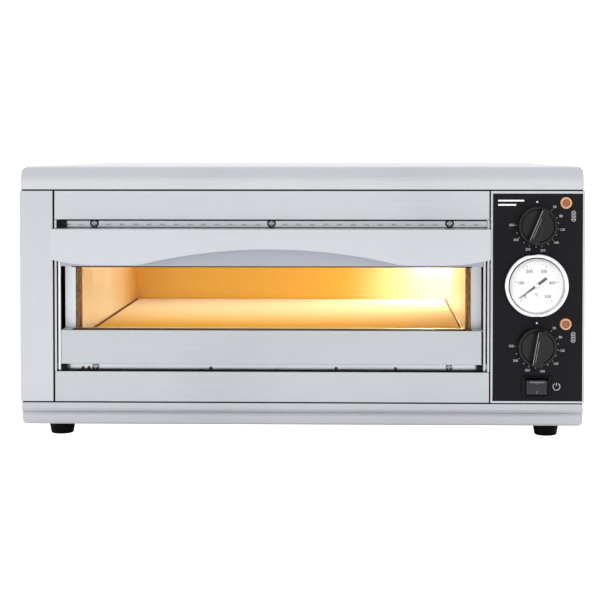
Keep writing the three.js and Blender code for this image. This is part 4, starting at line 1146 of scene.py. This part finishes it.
# %% [markdown]
# ## Stops and gland
# A black rubber stop fills the left end of the gap over the door, where the door closes
# on to the cabinet. At the back the mains lead would enter through a nylon gland, which
# has a hexagon for the spanner and a ribbed dome nut.

# %% Door stop
top_low, top_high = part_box("upper_front_panel")
bottom_low, bottom_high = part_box("lower_front_panel")
hood_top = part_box("door_hood")[1].z / MM


def add_box(name, x_span, y_span, z_span, finish, body, slot, radius_mm=0.2):
    """A small block: its spans are millimetres, with depth counted from the front plane."""
    low = (x_span[0], front_plane + y_span[0], z_span[0])
    high = (x_span[1], front_plane + y_span[1], z_span[1])
    return add_piece(name, box_bmesh(low, high), finish, body, radius_mm)


stop_z = (hood_top + 0.6, top_low.z / MM - 0.5)
stop_x = top_low.x / MM + 2.4
for i, (start, end, deep) in enumerate(((0, 2.2, 0.6), (2.8, 6.6, 0.2), (7.4, 9.2, 1.6))):
    add_box(f"door_stop_fin_{i + 1}", (stop_x + start, stop_x + end), (deep, 4.6), stop_z,
            "black_phenolic", "cabinet", "rubber", 0.3)

# %% [markdown]
# ## Shade in the seams
# Black strips fill every seam of the cabinet. They are painted shade, which turns the seams
# into the crisp dark lines that divide the front.

# %% Painted shade in the seams
lid_z, base_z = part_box("top_cover")[0].z / MM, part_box("base_pan")[1].z / MM
panel_z = (bottom_low.z / MM, top_high.z / MM)
wide = (left_low.x / MM + 2.2, right_high.x / MM - 2.2)
flange_end, column_start = left_high.x / MM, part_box("control_panel")[0].x / MM
field_low, field_high = top_low.x / MM, top_high.x / MM
strip_gap = (field_low + 2.5, field_high - 2.5)
vent_top, sill_bottom = top_low.z / MM, bottom_high.z / MM
# Each black strip is painted shade in a seam.
SHADOW_STRIP = ("black_rubber_and_shade", "cabinet", "rubber", 0)
for name, x_span, y_span, z_span in (
    ("lid_gasket", wide, (-0.05, 6), (panel_z[1] - 0.3, lid_z - 0.05)),
    ("base_gasket", wide, (0.7, 6), (base_z + 0.1, panel_z[0] - 0.1)),
    ("flange_gasket", (flange_end + 0.1, field_low - 0.1), (1.0, 6), panel_z),
    ("column_gasket", (field_high + 0.1, column_start - 0.1), (1.0, 6), panel_z),
    ("vent_gasket", strip_gap, (1.6, 4.6), (vent_top - 1.3, vent_top - 0.05)),
    ("sill_gasket", strip_gap, (1.6, 8.8), (sill_bottom + 0.05, sill_bottom + 1.0)),
):
    add_box(name, x_span, y_span, z_span, *SHADOW_STRIP)
add_box("vent_backing", strip_gap, (6.4, 6.9), (vent_top - 7.4, vent_top - 0.6),
        "zinc_spangle", "cabinet", "galvanised", 0)

# %% [markdown]
# ## Shade on the stiles
# A thin black band on the inner face of each stile is painted shade. Seen past the edge of
# the window it is a black upright band. Nothing glossy mirrors it.

# %% Painted shade on the stiles
window_z = (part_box("door_bottom_rail")[1].z / MM - 12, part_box("door_top_rail")[0].z / MM + 12)
stile_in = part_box("door_bottom_rail")[0].x / MM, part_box("door_bottom_rail")[1].x / MM
for side, x_span in (
    ("left", (stile_in[0] - 0.28, stile_in[0] - 0.02)),
    ("right", (stile_in[1] + 0.02, stile_in[1] + 0.28)),
):
    shade_band = add_box("stile_felt_" + side, x_span, (1.2, 22.8), window_z, "black_felt", "door",
                   "rubber", 0)
    shade_band.visible_glossy = False

# %% Beads of the window and trims of the mouth
# A brown heat-proof bead edges the glass, and browned angles cover the liner's front edge.
rail_low, rail_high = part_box("door_bottom_rail")
lintel_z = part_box("door_top_rail")[0].z / MM
rail_top = rail_high.z / MM
bead = (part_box("door_left_stile")[1].x / MM + 0.1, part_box("door_right_stile")[0].x / MM - 0.1)
BEAD = ("bead_rubber", "door", "rubber", 0)
add_box("glass_bead_lower", bead, (0.7, 13), (rail_top + 0.03, rail_top + 0.5), *BEAD)
add_box("glass_bead_upper", bead, (0.7, 2.5), (lintel_z - 1.0, lintel_z - 0.05), *BEAD)
# A black strip at the right end of the bottom rail is painted shade in the gap there.
end = rail_high.x / MM
add_box("rail_end_shadow", (end - 1.5, end - 0.05), (-0.25, 0.5),
        (rail_low.z / MM + 0.6, rail_top - 0.6), "black_rubber_and_shade", "door", "rubber", 0)
liner = (shell_low.x / MM + 1.1, shell_high.x / MM - 1.1)
trim_z = (stone_high.z / MM + 0.2, shell_high.z / MM - 1.3)
stone_front, stone_rear = stone_low.y / MM - front_plane, stone_high.y / MM - front_plane
trim_y = (stone_front + 0.3, stone_front + 5)
TRIM = ("browned_steel", "cabinet", "liner")
add_box("mouth_trim_left", (liner[0], liner[0] + 2.4), trim_y, trim_z, *TRIM, 0.3)
add_box("mouth_trim_right", (liner[1] - 2.8, liner[1]), trim_y, trim_z, *TRIM, 0.3)
# Dark brown strips between the stone and the liner's sides are painted shade of the gap there.
gap_shadow_y = (stone_front + 6, stone_rear - 1)
gap_shadow_z = (stone_high.z / MM - 1.5, stone_high.z / MM + 1.0)
add_box("stone_gap_shadow_left", (liner[0], liner[0] + 1.3), gap_shadow_y, gap_shadow_z, *TRIM, 0.2)
add_box("stone_gap_shadow_right", (liner[1] - 1.5, liner[1]), gap_shadow_y, gap_shadow_z, *TRIM, 0.2)

# %% Cable gland
gland_low, gland_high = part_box("cable_gland")
gland = centre("cable_gland")
rear = rear_high.y / MM
tip = gland_high.y / MM
thread, flange = 8.0, (gland_high.z - gland_low.z) / 2 / MM
RIBS = 18


def polygon(radius, sides, turn=0.0, rib=0.0):
    """Corners of a polygon. With a rib, two corners of every four stand out by that much."""
    corners = []
    for i in range(sides):
        angle = math.radians(360 * i / sides + turn)
        r = radius + (rib if i % 4 < 2 else 0)
        corners.append((r * math.cos(angle), r * math.sin(angle)))
    return corners


hexagon = polygon(flange, 6, 30)
add_piece("gland_hexagon", loft([(hexagon, rear + 0.3), (hexagon, rear + 4.6)]), "black_phenolic",
          "cabinet", 0.5, place=(gland.x, 0, gland.z), stands_for=("cable_gland",))
nut_levels = []
for radius, depth, rib in (
    (10.2, rear + 4.7, 0.35), (10.2, rear + 9, 0.35), (8.8, rear + 13.4, 0.35),
    (6.6, tip - 0.4, 0.35), (6.0, tip, 0.35), (4.0, tip, 0), (3.6, tip - 2, 0), (3.6, rear + 6, 0),
):
    nut_levels.append((polygon(radius, 4 * RIBS, 0, rib), depth))
add_piece("gland_dome_nut", loft(nut_levels), "black_phenolic", "cabinet",
          place=(gland.x, 0, gland.z))
shank = [(0, gland_low.y / MM), (thread, gland_low.y / MM), (thread, rear + 0.3), (0, rear + 0.3)]
add_piece("gland_thread", lathe(shank, 40), "black_phenolic", "cabinet",
          place=(gland.x, 0, gland.z))

# %% [markdown]
# ## Oven lamp
# A lamp in the right-hand wall, near the rear, lights the chamber. Its light is a warm
# white, which the straw-tinted walls turn gold, and it washes out the wall beside it.

# %% Warm light in the chamber
lens = centre("lamp_lens")
bulb = bpy.data.lights.new("oven_lamp", "POINT")
bulb.energy = 0.32
bulb.color = (1.0, 0.93, 0.7)
bulb.shadow_soft_size = 0.016
glow = bpy.data.objects.new("oven_lamp", bulb)
scene.collection.objects.link(glow)
glow.location = (lens.x - 34 * MM, shell_high.y - 30 * MM, lens.z + 8 * MM)
glow.visible_camera = False

# A soft light under the roof stands in for what the bright walls pass round the chamber.
element = bpy.data.lights.new("upper_element_glow", "AREA")
element.shape, element.size, element.size_y = "RECTANGLE", 0.40, 0.30
element.energy, element.color = 0.58, (1.0, 0.95, 0.7)
shine = bpy.data.objects.new("upper_element_glow", element)
scene.collection.objects.link(shine)
heater = centre("upper_heater")
shine.location = (heater.x - 50 * MM, heater.y, heater.z - 8 * MM)
shine.visible_camera = shine.visible_glossy = False
for pane in (bpy.data.objects["gauge_window"], nodes["door_glass"], nodes["lamp_lens"]):
    pane.visible_shadow = False  # clear panes let the light straight through
print("oven lamp at", [round(v, 3) for v in glow.location])

# %% [markdown]
# ## Finish

# %% The end
bpy.context.view_layer.update()
